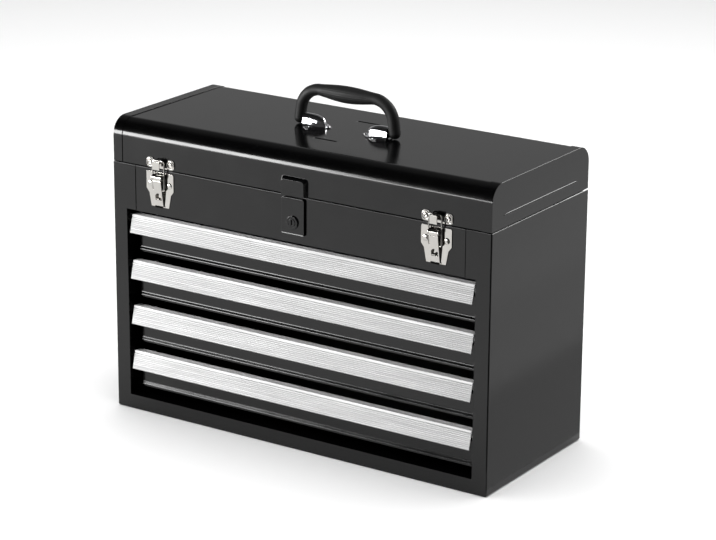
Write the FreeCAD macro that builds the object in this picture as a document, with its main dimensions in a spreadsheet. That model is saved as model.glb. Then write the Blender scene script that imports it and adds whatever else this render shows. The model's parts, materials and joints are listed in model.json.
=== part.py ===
import FreeCAD, Part
import Sketcher
import math
import os
from types import SimpleNamespace

# Portable steel tool box: a case with four drawers under a hinged lid with a carry handle.
# Millimetres. X runs to the right, Y to the rear, Z up. The origin is in the middle of the
# underside, and the lid's hinge line is the top rear edge of the case.

SIZES = {
    # Case
    "case_width": 520,
    "case_depth": 215,
    "case_height": 307,
    "steel": 1.0,
    "bend": 2.5,
    "corner_round": 1.5,
    "side_flange": 19.5,
    "rail_height": 18,
    "fascia_height": 55.5,
    "flange_return": 32,
    "rim_width": 7,
    "rim_stop": 9,
    "overrun": 5,
    # Clearances: round a rivet, and round a part that turns
    "fit": 0.1,
    "play": 0.3,
    # Fascia above the drawers
    "fascia_notch": 13.5,
    "seam": 0.25,
    "fascia_return": 22,
    "fascia_wing": 16,
    "wing_margin": 6,
    # Till under the lid
    "till_edge": 10,
    "liner": 1.5,
    "liner_gap": 1.5,
    # Lid
    "lid_height": 53,
    "lid_gap": 0.8,
    "lid_inset": 0.4,
    "lid_end_inset": 0.8,
    "lid_corner": 20,
    "band": 0.8,
    "band_width": 13,
    "bead_level": 14,
    "bead_height": 2.6,
    "bead_margin": 24,
    "bead_out": 0.7,
    "bead_round_share": 0.45,
    # Lock housing pressed out of the lid front
    "boss_half_width": 18.6,
    "boss_face_half_width": 15.6,
    "boss_height": 21.5,
    "boss_face_drop": 3.2,
    "boss_out": 5.2,
    "boss_corner": 3.5,
    # Lid hinge
    "pin_radius": 1.5,
    "knuckle_radius": 2.6,
    "hinge_margin": 20,
    "knuckle_count": 6,
    "knuckle_gap": 0.4,
    "leaf_steel": 1.0,
    "leaf_depth": 22,
    "hinge_clearance": 0.9,
    # Drawers and their slides
    "drawer_count": 4,
    "drawer_base": 26,
    "drawer_wall": 0.8,
    "drawer_side_gap": 8,
    "drawer_gap": 9.7,
    "drawer_top_gap": 7.2,
    "drawer_front_setback": 14.5,
    "drawer_rear_gap": 10.5,
    "pull_rise": 3.8,
    "side_drop": 7.5,
    "drawer_hem": 6,
    "drawer_bead_level": 4.6,
    "drawer_bead": 2.2,
    "drawer_bead_round": 2.5,
    "mat": 1.5,
    "mat_gap": 1.0,
    "rail_drop": 6.2,
    "rail_plate": 12,
    "rail_reach": 6.3,
    "slide_gap": 0.35,
    "runner_front": 16,
    "runner_tab": 12,
    "runner_play": 1.5,
    "runner_lip_gap": 0.9,
    "rail_start": 4,
    # Drawer pulls
    "pull_side_gap": 4,
    "pull_drop": 22.1,
    "pull_top_depth": 9.4,
    "pull_lean": 5.3,
    "pull_wall": 1.5,
    "pull_leg": 12,
    "rib_depth": 0.35,
    "rib_count": 10,
    "top_rib_count": 4,
    "pull_lip": 1.2,
    # Rivets
    "rivet_shank": 1.8,
    "rivet_hole": 1.9,
    "rivet_dome": 1.3,
    "rivet_tail": 0.9,
    "rivet_tail_radius": 2.8,
    # Draw latches: riveted base
    "latch_margin": 70,
    "latch_steel": 1.0,
    "latch_half": 19.75,
    "latch_waist_half": 15.8,
    "latch_foot_half": 12.65,
    "latch_top_drop": 3,
    "latch_shoulder_drop": 24,
    "latch_waist_drop": 29,
    "latch_foot_drop": 45,
    "latch_corner": 2,
    "latch_rivet_offset": 13.6,
    "latch_rivet_drop": 17.5,
    "latch_rivet_head": 3.8,
    "ear_radius": 3.2,
    "ear_gap": 0.3,
    "latch_pin": 1.5,
    "staple_drop": 34.5,
    "staple_half": 2,
    "staple_out": 6.3,
    # Draw latches: lever and wire loop
    "lever_pivot_out": 5.5,
    "lever_pivot_drop": 8,
    "lever_half": 5.75,
    "lever_length": 35,
    "lever_foot_out": 3,
    "curl_radius": 3,
    "tip_out": 1.5,
    "tip_drop": 2,
    "cheek_gap": 0.5,
    "cheek_foot_rise": 4,
    "window_half": 4.4,
    "window_drop": 36,
    "window_height": 8.5,
    "bail_pivot_out": 3.6,
    "bail_arm": 16,
    "bail_half": 8.3,
    "wire_radius": 0.95,
    "wire_bend": 2.2,
    "bail_gap": 0.3,
    # Draw latches: keeper on the lid
    "keeper_half": 20,
    "keeper_foot_rise": 0.7,
    "keeper_height": 12,
    "keeper_corner": 4,
    "keeper_rivet_offset": 14.8,
    "keeper_rivet_rise": 6.7,
    "keeper_rivet_head": 3.2,
    "shelf_rise": 9.65,
    "shelf_half": 4.75,
    "lip_out": 8.5,
    "lip_steel": 1.0,
    "lip_rise": 1.55,
    # Lock
    "lock_drop": 30.5,
    "lock_gap": 0.5,
    "escutcheon_half": 15.5,
    "escutcheon_out": 3,
    "escutcheon_top_drop": 2,
    "escutcheon_foot_drop": 45.5,
    "escutcheon_corner": 2.5,
    "barrel_radius": 6.5,
    "barrel_head_radius": 8,
    "barrel_flange": 2,
    "barrel_chamfer": 0.6,
    "barrel_depth": 8,
    "plug_radius": 4.6,
    "plug_shaft": 3,
    "plug_proud": 0.3,
    "keyway_half": 0.7,
    "keyway_reach": 3.2,
    "keyway_depth": 5,
    "cam_steel": 2,
    "cam_hub": 5,
    "cam_reach": 14,
    "cam_half": 2.5,
    "cam_tip": 3,
    "cam_hook": 4,
    "cam_screw": 3.6,
    "cam_screw_height": 1.5,
    "nut_radius": 10,
    "nut_height": 3,
    "strike_steel": 1.5,
    "strike_half": 10,
    "strike_neck": 3,
    "strike_tongue": 3,
    "strike_hook_rise": 7.5,
    "strike_hook_height": 2,
    "strike_neck_rise": 4,
    "strike_mount_rise": 24,
    "strike_mount": 7,
    # Carry handle
    "handle_axis_rise": 7.3,
    "handle_half": 66.5,
    "handle_rise": 35.8,
    "handle_foot_drop": 3,
    "handle_slope": 80,
    "handle_bend": 27,
    "leg_radius": 6.4,
    "grip_radius": 10.4,
    "foot_round": 1.6,
    "handle_pin": 3.2,
    "handle_pin_reach": 21.5,
    # Brackets that hold the handle
    "bracket_steel": 1.0,
    "bracket_gap": 8.5,
    "bracket_half": 7,
    "bracket_hood": 16,
    "bracket_nose": 13,
    "bracket_shoulder": 7,
    "bracket_knee": 4,
    "bracket_flange_half": 14,
    "bracket_tip_length": 6.5,
    "bracket_tip_half": 3.6,
    "bracket_rivet_inset": 2,
    "bracket_rivet_offset": 10.8,
    "bracket_rivet_head": 2.4,
    # Stiffener under the lid, with tabs in two slots
    "slot_half": 15.5,
    "slot_place": 44.5,
    "slot_width": 3.2,
    "slot_gap": 0.2,
    "plate_margin": 8.5,
    "plate_steel": 1.0,
    # Lid stay
    "lid_swing": 90,
    "stay_radius": 45,
    "stay_lid_angle": 125,
    "stay_case_angle": 190,
    "stay_margin": 12.2,
    "stay_steel": 1.5,
    "stay_half": 5,
    "stay_side_gap": 0.3,
    "stud_radius": 2.2,
    "stud_gap": 0.3,
    "stud_head": 4,
    "stud_head_height": 1.0,
}


class Size:
    """A number that carries the formula by which the sheet works it out."""

    def __init__(self, value, formula):
        self.value = value
        self.formula = formula

    def joined(self, sign, other, value):
        return Size(value, "(%s %s %s)" % (self.formula, sign, other.formula))

    def __add__(self, other):
        other = as_size(other)
        return self.joined("+", other, self.value + other.value)

    def __sub__(self, other):
        other = as_size(other)
        return self.joined("-", other, self.value - other.value)

    def __mul__(self, other):
        other = as_size(other)
        return self.joined("*", other, self.value * other.value)

    def __truediv__(self, other):
        other = as_size(other)
        return self.joined("/", other, self.value / other.value)

    def __radd__(self, other):
        return as_size(other) + self

    def __rsub__(self, other):
        return as_size(other) - self

    def __rmul__(self, other):
        return as_size(other) * self

    def __neg__(self):
        return Size(-self.value, "(0 - %s)" % self.formula)


def as_size(item):
    if isinstance(item, Size):
        return item
    return Size(item, repr(item))


def sine(angle):
    return Size(math.sin(math.radians(angle.value)), "sin(%s)" % angle.formula)


def cosine(angle):
    return Size(math.cos(math.radians(angle.value)), "cos(%s)" % angle.formula)


def bind(thing, path, size):
    """Ties one property of a thing to a formula on the sheet."""
    size = as_size(size)
    if size.formula != "0":
        thing.setExpression(path, size.formula)


doc = FreeCAD.newDocument("ToolBox")
sheet = doc.addObject("Spreadsheet::Sheet", "Sizes")
for row, (name, number) in enumerate(SIZES.items(), start=1):
    sheet.set("A%d" % row, name)
    sheet.set("B%d" % row, str(number))
    sheet.setAlias("B%d" % row, name)
doc.recompute()
s = SimpleNamespace(**{name: Size(number, "Sizes." + name) for name, number in SIZES.items()})

# Each drawing plane with its origin plane and the side of the world axis that its normal points to
PLANES = {"XY": ("XY_Plane", 1), "XZ": ("XZ_Plane", -1), "YZ": ("YZ_Plane", 1)}
TOLERANCE = 1e-4
QUARTER_TURN = 90
FULL_TURN = 360
NUT_SIDES = 6
RIB_VALLEY_SHARE = 0.5
# Small round things that carry many like them are drawn with this many sides
SMALL_SIDES = 8
# A rivet head's layers: share of its radius, and share of its height at the foot and at the top
HEAD_SHARES = [(1.0, 0.0, 0.55), (0.68, 0.55, 1.0)]
# A mitred corner of the wire stands this share of its bend back from the corner
MITRE_SHARE = 0.6
# Angles along each bend of the handle's legs where its straight runs meet, as shares of the bend
BEND_SHARES = [0.0, 0.33, 0.67, 1.0]
# The nose of a bracket's hood, from its straight part on: share of its length and of its half width
NOSE_SHARES = [(0.0, 1.0), (0.42, 0.88), (0.78, 0.56)]
# The grip from its end to its middle: share of its half length, and share of its swell
GRIP_SHARES = [(1.0, 0.0), (0.88, 0.5), (0.65, 0.82), (0.28, 1.0)]


def new_body(label):
    body = doc.addObject("PartDesign::Body", label)
    body.Label = label
    return body


def origin_part(body, role):
    return [item for item in body.Origin.OriginFeatures if item.Role == role][0]


def circle(u, v, radius):
    """A full circle in a sketch."""
    return ("circle", as_size(u), as_size(v), as_size(radius))


def facets(u, v, radius):
    """A small circle with few sides."""
    corners = []
    for corner in range(SMALL_SIDES):
        around = as_size(corner * FULL_TURN / SMALL_SIDES)
        corners.append((u + radius * cosine(around), v + radius * sine(around)))
    return corners


def block(u0, u1, v0, v1):
    """A rectangle between two sides and two levels."""
    return [(u0, v0), (u1, v0), (u1, v1), (u0, v1)]


def rounded(u0, u1, v0, v1, radius):
    """A rectangle with its four corners rounded alike."""
    return [(u0 + radius, v0), (u1 - radius, v0, radius), (u1, v0 + radius), (u1, v1 - radius, radius),
            (u1 - radius, v1), (u0 + radius, v1, radius), (u0, v1 - radius), (u0, v0 + radius, radius)]


def flipped(outline):
    """The same outline on the other side of the vertical axis, still running the same way round."""
    if outline[0] == "circle":
        return circle(-outline[1], outline[2], outline[3])
    turned = []
    count = len(outline)
    for index in range(count):
        point = outline[(-index) % count]
        before = outline[(-index - 1) % count]
        turned.append((-as_size(point[0]), point[1]) + tuple(before[2:]))
    return turned


def arc_between(start, end, radius):
    """The short arc from start to end: to the left of the chord's end when the radius is positive."""
    chord = end - start
    middle = (start + end) * 0.5
    height = math.sqrt(max(radius * radius - chord.Length * chord.Length / 4, 0))
    side = FreeCAD.Vector(-chord.y, chord.x, 0).normalize()
    centre = middle + side * (height if radius > 0 else -height)
    first, last = (start, end) if radius > 0 else (end, start)
    turn0 = math.atan2(first.y - centre.y, first.x - centre.x)
    turn1 = math.atan2(last.y - centre.y, last.x - centre.x)
    round_part = Part.Circle(centre, FreeCAD.Vector(0, 0, 1), abs(radius))
    return Part.ArcOfCircle(round_part, turn0, turn1)


def trace(sketch, outlines, closed=True):
    """Draws outlines. A point's third entry is the radius of the arc to the next point."""
    shapes = []
    limits = []
    ties = []

    def hold(kind, place, size):
        ties.append((len(limits), size))
        limits.append(Sketcher.Constraint(kind, *place, size.value))

    for outline in outlines:
        first = len(shapes)
        if outline[0] == "circle":
            centre = FreeCAD.Vector(outline[1].value, outline[2].value, 0)
            shapes.append(Part.Circle(centre, FreeCAD.Vector(0, 0, 1), outline[3].value))
            hold("DistanceX", (-1, 1, first, 3), outline[1])
            hold("DistanceY", (-1, 1, first, 3), outline[2])
            hold("Radius", (first,), outline[3])
            continue
        points = [(as_size(point[0]), as_size(point[1])) for point in outline]
        places = [FreeCAD.Vector(u.value, v.value, 0) for u, v in points]
        count = len(outline)
        starts = []
        pieces = count if closed else count - 1
        for index, point in enumerate(outline[:pieces]):
            begin = places[index]
            finish = places[(index + 1) % count]
            if len(point) == 2:
                shapes.append(Part.LineSegment(begin, finish))
                starts.append((1, 2))
            else:
                radius = as_size(point[2])
                shapes.append(arc_between(begin, finish, radius.value))
                starts.append((1, 2) if radius.value > 0 else (2, 1))
        for index in range(count if closed else pieces - 1):
            after = (index + 1) % count
            joint = (first + index, starts[index][1], first + after, starts[after][0])
            limits.append(Sketcher.Constraint("Coincident", *joint))
        for index, (u, v) in enumerate(points):
            end = (index, 0) if index < pieces else (pieces - 1, 1)
            hold("DistanceX", (-1, 1, first + end[0], starts[end[0]][end[1]]), u)
            hold("DistanceY", (-1, 1, first + end[0], starts[end[0]][end[1]]), v)
            if len(outline[index]) == 3:
                radius = as_size(outline[index][2])
                if radius.value < 0:
                    radius = -radius
                hold("Radius", (first + index,), radius)
    sketch.addGeometry(shapes, False)
    sketch.addConstraint(limits)
    for index, size in ties:
        bind(sketch, "Constraints[%d]" % index, size)


def draw(body, plane, level, outlines, closed=True):
    """A sketch on one of the body's own planes, at a level along the world axis."""
    role, sign = PLANES[plane]
    sketch = body.newObject("Sketcher::SketchObject", body.Label + "_sketch")
    sketch.AttachmentSupport = [(origin_part(body, role), "")]
    sketch.MapMode = "FlatFace"
    height = as_size(level) * sign
    offset = FreeCAD.Vector(0, 0, height.value)
    sketch.AttachmentOffset = FreeCAD.Placement(offset, FreeCAD.Rotation())
    if as_size(level).formula != "0":
        bind(sketch, "AttachmentOffset.Base.z", height)
    trace(sketch, outlines, closed)
    return sketch


def pad(body, plane, outlines, start, end):
    """Adds outlines as solid from one level along the plane's world axis to a higher one."""
    feature = body.newObject("PartDesign::Pad", body.Label + "_pad")
    feature.Profile = draw(body, plane, start, outlines)
    bind(feature, "Length", as_size(end) - start)
    feature.Reversed = PLANES[plane][1] < 0
    body.Tip = feature
    return feature


def checked_cut(body, feature, volume):
    """Makes sure that a cut takes something away from the volume there was."""
    body.Tip = feature
    doc.recompute()
    if feature.Shape.Volume > volume - TOLERANCE:
        raise ValueError("a cut in %s takes nothing away" % body.Label)
    return feature


def cut(body, plane, outlines, start, end):
    """Cuts outlines away from one level to a higher one."""
    doc.recompute()
    volume = body.Tip.Shape.Volume
    sketch = draw(body, plane, start, outlines)
    feature = body.newObject("PartDesign::Pocket", body.Label + "_cut")
    feature.Profile = sketch
    bind(feature, "Length", as_size(end) - start)
    feature.Reversed = PLANES[plane][1] > 0
    return checked_cut(body, feature, volume)


def loft(body, plane, sections, taking=False):
    """Joins outlines at several levels, or cuts that form away. Each section is (level, outline)."""
    doc.recompute()
    volume = body.Tip.Shape.Volume
    sketches = [draw(body, plane, level, [outline]) for level, outline in sections]
    kind = "PartDesign::SubtractiveLoft" if taking else "PartDesign::AdditiveLoft"
    feature = body.newObject(kind, body.Label + "_loft")
    feature.Profile = sketches[0]
    feature.Sections = sketches[1:]
    feature.Ruled = True
    if taking:
        return checked_cut(body, feature, volume)
    body.Tip = feature
    return feature


def turn(body, plane, level, outline, axis="V_Axis", taking=False):
    """Turns an outline once round an axis of its sketch, to add or to take away."""
    doc.recompute()
    volume = body.Tip.Shape.Volume if taking else 0
    sketch = draw(body, plane, level, [outline])
    kind = "PartDesign::Groove" if taking else "PartDesign::Revolution"
    feature = body.newObject(kind, body.Label + "_turned")
    feature.Profile = sketch
    feature.ReferenceAxis = (sketch, [axis])
    feature.Angle = FULL_TURN
    if taking:
        return checked_cut(body, feature, volume)
    body.Tip = feature
    return feature


def pipe(body, plane, level, route, section):
    """Sweeps a section along straight runs with mitred corners."""
    path = draw(body, plane, level, [route], closed=False)
    feature = body.newObject("PartDesign::AdditivePipe", body.Label + "_run")
    feature.Profile = section
    feature.Spine = path
    feature.Transition = "Right corner"
    body.Tip = feature
    return feature


def edges_at(shape, x=None, y=None, z=None):
    """Names of the straight or round edges that lie wholly at the given places."""
    wanted = [None if place is None else as_size(place).value for place in (x, y, z)]
    names = []
    for number, edge in enumerate(shape.Edges, start=1):
        ends = [edge.valueAt(edge.FirstParameter), edge.valueAt(edge.LastParameter),
                edge.valueAt((edge.FirstParameter + edge.LastParameter) / 2)]
        fits = [place is None or all(abs(end[axis] - place) < TOLERANCE for end in ends)
                for axis, place in enumerate(wanted)]
        if all(fits):
            names.append("Edge%d" % number)
    return names


def round_edges(body, radius, places):
    """Rounds the edges at the given places, each a dictionary of x, y and z."""
    doc.recompute()
    base = body.Tip
    names = []
    for place in places:
        names += edges_at(base.Shape, **place)
    if not names:
        raise ValueError("no edge to round in %s" % body.Label)
    feature = body.newObject("PartDesign::Fillet", body.Label + "_rounded")
    feature.Base = (base, sorted(set(names)))
    bind(feature, "Radius", radius)
    body.Tip = feature
    return feature


def repeat(body, features, axis, spacing, count):
    """Repeats features along a world axis."""
    feature = body.newObject("PartDesign::LinearPattern", body.Label + "_row")
    feature.Originals = features
    feature.Direction = (origin_part(body, axis), [""])
    feature.Mode = "Spacing"
    bind(feature, "Offset", spacing)
    bind(feature, "Occurrences", count)
    body.Tip = feature
    return feature


# Places that several pieces share
half_width = s.case_width / 2
opening_top = s.case_height - s.fascia_height
inner_side = half_width - s.steel
front = -(s.case_depth / 2)
rear = s.case_depth / 2
opening_half = half_width - s.side_flange
notch_half = opening_half - s.fascia_notch
rear_edge = s.case_height - s.knuckle_radius - s.hinge_clearance
floor_level = opening_top + s.steel
lid_base = s.case_height + s.lid_gap
lid_rear_base = s.case_height + s.knuckle_radius + s.hinge_clearance
lid_front = front + s.lid_inset + s.band
lid_crown = s.case_height + s.lid_height - s.band
lid_end = half_width - s.lid_end_inset
leaf_front = rear - s.steel - s.leaf_steel
leaf_rear = rear - s.steel
drawer_front = front + s.drawer_front_setback
drawer_rear = rear - s.drawer_rear_gap
drawer_half = opening_half - s.drawer_side_gap
pull_half = opening_half - s.pull_side_gap
stack_height = opening_top - s.drawer_top_gap + s.drawer_gap - s.drawer_base
drawer_pitch = stack_height / s.drawer_count
pull_top = drawer_pitch - s.drawer_gap
front_height = pull_top - s.pull_rise
side_height = front_height - s.side_drop
hinge_half = half_width - s.hinge_margin
knuckle_pitch = hinge_half / s.knuckle_count
till_bottom = floor_level + s.steel


def both(outline):
    """An outline and its mirror image on the other side of the middle."""
    return [outline, flipped(outline)]


def case_body():
    """Bottom and sides in one wrapped sheet, with the frame round the drawer opening."""
    body = new_body("case_body")
    inner_bend = s.bend - s.steel
    wrap = [(-half_width, s.case_height), (-half_width, s.bend, s.bend), (s.bend - half_width, 0),
            (half_width - s.bend, 0, s.bend), (half_width, s.bend), (half_width, s.case_height),
            (inner_side, s.case_height), (inner_side, s.bend, -inner_bend),
            (half_width - s.bend, s.steel), (s.bend - half_width, s.steel, -inner_bend),
            (-inner_side, s.bend), (-inner_side, s.case_height)]
    pad(body, "XZ", [wrap], front, rear)
    frame = [(s.bend - half_width, 0), (half_width - s.bend, 0, s.bend), (half_width, s.bend),
             (half_width, s.case_height), (notch_half, s.case_height), (notch_half, opening_top),
             (opening_half, opening_top), (opening_half, s.rail_height),
             (-opening_half, s.rail_height), (-opening_half, opening_top),
             (-notch_half, opening_top), (-notch_half, s.case_height),
             (-half_width, s.case_height), (-half_width, s.bend, s.bend)]
    pad(body, "XZ", [frame], front, front + s.steel)
    side_return = block(opening_half, opening_half + s.steel, front, front + s.flange_return)
    pad(body, "XY", both(side_return), s.rail_height - s.steel, opening_top)
    bottom_return = block(-opening_half, opening_half, front, front + s.flange_return)
    pad(body, "XY", [bottom_return], s.rail_height - s.steel, s.rail_height)
    side_rim = [(notch_half, front), (half_width, front), (half_width, rear - s.rim_stop),
                (half_width - s.rim_width, rear - s.rim_stop),
                (half_width - s.rim_width, front + s.rim_width), (notch_half, front + s.rim_width)]
    pad(body, "XY", both(side_rim), s.case_height - s.steel, s.case_height)
    corners = [{"x": half_width, "y": front}, {"x": -half_width, "y": front}]
    round_edges(body, s.corner_round, corners)
    return body


def case_back():
    """Rear panel, welded inside the wrap. The hinge is fixed to the inside of its top edge."""
    body = new_body("case_back")
    pad(body, "XZ", [block(-inner_side, inner_side, s.bend, rear_edge)], rear - s.steel, rear)
    return body


def front_fascia():
    """Panel above the drawers, with its rim, its return and a wing behind each side flange."""
    body = new_body("front_fascia")
    half = notch_half - s.seam
    profile = [(front, opening_top), (front + s.fascia_return, opening_top),
               (front + s.fascia_return, floor_level), (front + s.steel, floor_level),
               (front + s.steel, s.case_height - s.steel),
               (front + s.rim_width, s.case_height - s.steel), (front + s.rim_width, s.case_height),
               (front, s.case_height)]
    pad(body, "YZ", [profile], -half, half)
    wing = block(half - s.wing_margin, notch_half + s.fascia_wing,
                 till_bottom + s.wing_margin, s.case_height - s.steel - s.wing_margin)
    pad(body, "XZ", both(wing), front + s.steel, front + s.steel * 2)
    cut(body, "XZ", [circle(0, lock_level, s.barrel_radius + s.fit)], front - s.overrun,
        front + s.steel + s.overrun)
    holes = [facets(u, latch_rivet_level, s.rivet_hole) for u in latch_rivet_sides()]
    cut(body, "XZ", holes, front - s.overrun, front + s.steel + s.overrun)
    return body


def till_floor():
    """Shelf between the till and the drawers, turned up at both ends."""
    body = new_body("till_floor")
    half = inner_side - s.steel
    profile = [(-half, floor_level), (half, floor_level), (half, floor_level + s.till_edge),
               (half - s.steel, floor_level + s.till_edge), (half - s.steel, till_bottom),
               (s.steel - half, till_bottom), (s.steel - half, floor_level + s.till_edge),
               (-half, floor_level + s.till_edge)]
    pad(body, "XZ", [profile], front + s.steel, rear - s.steel)
    return body


def till_liner():
    body = new_body("till_liner")
    half = inner_side - s.steel * 2 - s.liner_gap
    sheet_outline = block(-half, half, front + s.steel * 2 + s.liner_gap, rear - s.steel - s.liner_gap)
    pad(body, "XY", [sheet_outline], till_bottom, till_bottom + s.liner)
    return body


def lid_outline(grow, low, rear_low):
    """The lid's outer form seen from its end, grown all round by one thickness and closed below."""
    corner = s.lid_corner + grow
    ahead = lid_front - grow
    behind = rear + grow
    crown = lid_crown + grow
    return [(ahead, low), (behind, rear_low), (behind, crown - corner, corner),
            (behind - corner, crown), (ahead + corner, crown, corner), (ahead, crown - corner)]


def lid_shell():
    """Sheet wrapped over the top from front to rear, with the lock housing pressed out of it."""
    body = new_body("lid_shell")
    half = lid_end - s.steel
    corner = s.lid_corner
    inner = corner - s.steel
    profile = [(lid_front, lid_base), (lid_front + s.steel, lid_base),
               (lid_front + s.steel, lid_crown - corner, -inner),
               (lid_front + corner, lid_crown - s.steel),
               (rear - corner, lid_crown - s.steel, -inner), (rear - s.steel, lid_crown - corner),
               (rear - s.steel, lid_rear_base), (rear, lid_rear_base),
               (rear, lid_crown - corner, corner), (rear - corner, lid_crown),
               (lid_front + corner, lid_crown, corner), (lid_front, lid_crown - corner)]
    pad(body, "YZ", [profile], -half, half)
    loft(body, "XZ", [(lid_front + s.steel, boss_outline(s.boss_half_width, s.boss_height, 0)),
                      (lid_front - s.boss_out, boss_outline(s.boss_face_half_width,
                                                            s.boss_height - s.boss_face_drop, 0))])
    hollow_base = boss_outline(s.boss_half_width - s.steel, s.boss_height - s.steel, s.overrun)
    hollow_face = boss_outline(s.boss_face_half_width - s.steel,
                               s.boss_height - s.boss_face_drop - s.steel, s.overrun)
    loft(body, "XZ", [(lid_front + s.steel, hollow_base),
                      (lid_front - s.boss_out + s.steel, hollow_face)], taking=True)
    slot = block(-s.slot_half, s.slot_half, s.slot_place - s.slot_width / 2,
                 s.slot_place + s.slot_width / 2)
    slot_behind = block(-s.slot_half, s.slot_half, -s.slot_place - s.slot_width / 2,
                        s.slot_width / 2 - s.slot_place)
    holes = [facets(u, v, s.rivet_hole) for u, v in bracket_rivet_places()]
    cut(body, "XY", [slot, slot_behind] + holes, lid_crown - s.steel - s.overrun,
        lid_crown + s.overrun)
    keeper_holes = [facets(u, keeper_rivet_level, s.rivet_hole) for u in keeper_rivet_sides()]
    cut(body, "XZ", keeper_holes, lid_front - s.overrun, lid_front + s.steel + s.overrun)
    return body


def boss_outline(half, height, below):
    """The lock housing's front view: square at the foot and rounded at its top corners."""
    radius = s.boss_corner
    return [(-half, lid_base - below), (half, lid_base - below),
            (half, lid_base + height - radius, radius), (half - radius, lid_base + height),
            (radius - half, lid_base + height, radius), (-half, lid_base + height - radius)]


def between(side, near, far):
    """Start and end levels for a piece that lies between two distances from the middle."""
    return (near, far) if side > 0 else (-far, -near)


def lid_end_cap(side, label):
    """Pressed end with a band that wraps over the shell, and a bead across its face."""
    body = new_body(label)
    band_start = lid_end - s.band_width
    pad(body, "YZ", [lid_outline(s.band, lid_base, lid_base)], *between(side, band_start, lid_end))
    hollow = lid_outline(as_size(0), lid_base - s.overrun, lid_base - s.overrun)
    cut(body, "YZ", [hollow], *between(side, band_start - s.overrun, lid_end - s.steel))
    level = lid_base + s.bead_level
    bead = rounded(front + s.bead_margin, rear - s.bead_margin, level - s.bead_height / 2,
                   level + s.bead_height / 2, s.bead_height * s.bead_round_share)
    pad(body, "YZ", [bead], *between(side, lid_end - s.steel / 2, lid_end + s.bead_out))
    return body


def hinge_leaf(label, first, low, high, tab_low, tab_high):
    """One leaf of the long hinge: a strip with every second knuckle."""
    body = new_body(label)
    half = hinge_half
    pad(body, "YZ", [block(leaf_front, leaf_rear, low, high)], -half, half)
    start = first - half
    end = start + knuckle_pitch - s.knuckle_gap
    tab = pad(body, "YZ", [block(leaf_front, leaf_rear, tab_low, tab_high)], start, end)
    bore = (s.pin_radius + s.play) / cosine(as_size(FULL_TURN / SMALL_SIDES / 2))
    ring = pad(body, "YZ", [facets(rear, s.case_height, s.knuckle_radius),
                            facets(rear, s.case_height, bore)], start, end)
    repeat(body, [tab, ring], "X_Axis", knuckle_pitch * 2, s.knuckle_count)
    return body


def hinge_pieces():
    """The two leaves that are folded round one pin, and the pin."""
    bore = s.pin_radius + s.play
    down = s.case_height
    hinge_leaf("hinge_case_leaf", as_size(0), down - s.leaf_depth, rear_edge, rear_edge - s.leaf_steel,
               down - bore)
    hinge_leaf("hinge_lid_leaf", knuckle_pitch, lid_rear_base, down + s.leaf_depth, down + bore,
               lid_rear_base + s.leaf_steel)
    body = new_body("hinge_pin")
    half = hinge_half
    pad(body, "YZ", [circle(rear, s.case_height, s.pin_radius)], -half, half)


def drawer_numbers():
    return range(1, int(s.drawer_count.value) + 1)


def drawer_level(number):
    """The underside of a drawer, counted from the top one down."""
    return s.drawer_base + drawer_pitch * (s.drawer_count - number)


def rail_top(number):
    return drawer_level(number) + side_height - s.rail_drop


def drawer_tray(number):
    """Front, bottom and back folded from one sheet with a bead along the front, and two sides."""
    body = new_body("drawer_%d_tray" % number)
    base = drawer_level(number)
    wall = s.drawer_wall
    inside = drawer_half - wall
    bead = base + s.drawer_bead_level
    crest = base + front_height
    edge = base + side_height
    profile = [(drawer_front, base), (drawer_rear, base), (drawer_rear, edge),
               (drawer_rear - wall, edge), (drawer_rear - wall, base + wall),
               (drawer_front + wall, base + wall), (drawer_front + wall, crest - wall),
               (drawer_front + s.drawer_hem, crest - wall), (drawer_front + s.drawer_hem, crest),
               (drawer_front, crest), (drawer_front, bead + s.drawer_bead, s.drawer_bead_round),
               (drawer_front, bead - s.drawer_bead)]
    pad(body, "YZ", [profile], -inside, inside)
    side = block(drawer_front, drawer_rear, base, edge)
    pad(body, "YZ", [side], inside, drawer_half)
    pad(body, "YZ", [side], -drawer_half, -inside)
    return body


def drawer_pull(number):
    """Extruded aluminium pull: ribbed on top and front, leaning out over the finger gap."""
    body = new_body("drawer_%d_pull" % number)
    crest = drawer_level(number) + pull_top
    brow = drawer_front - s.pull_top_depth
    foot = brow - s.pull_lean
    bottom = crest - s.pull_drop
    outline = [(drawer_front - s.pull_wall, crest - s.pull_leg), (drawer_front, crest - s.pull_leg)]
    for rib in range(int(s.top_rib_count.value)):
        along = s.pull_top_depth / s.top_rib_count
        outline.append((drawer_front - along * rib, crest))
        outline.append((drawer_front - along * (rib + RIB_VALLEY_SHARE), crest - s.rib_depth))
    for rib in range(int(s.rib_count.value)):
        out = s.pull_lean / s.rib_count
        down = s.pull_drop / s.rib_count
        outline.append((brow - out * rib, crest - down * rib))
        outline.append((brow - out * (rib + RIB_VALLEY_SHARE) + s.rib_depth,
                        crest - down * (rib + RIB_VALLEY_SHARE)))
    outline += [(foot, bottom), (foot + s.pull_wall + s.pull_lip, bottom),
                (foot + s.pull_wall + s.pull_lip, bottom + s.pull_lip),
                (foot + s.pull_wall, bottom + s.pull_lip * 2),
                (brow + s.pull_wall, crest - s.pull_wall - s.rib_depth),
                (drawer_front - s.pull_wall, crest - s.pull_wall - s.rib_depth)]
    pad(body, "YZ", [outline], -pull_half, pull_half)
    return body


def drawer_mat(number):
    body = new_body("drawer_%d_mat" % number)
    half = drawer_half - s.drawer_wall - s.mat_gap
    margin = s.drawer_wall + s.mat_gap
    base = drawer_level(number) + s.drawer_wall
    pad(body, "XY", [block(-half, half, drawer_front + margin, drawer_rear - margin)], base,
        base + s.mat)
    return body


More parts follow.
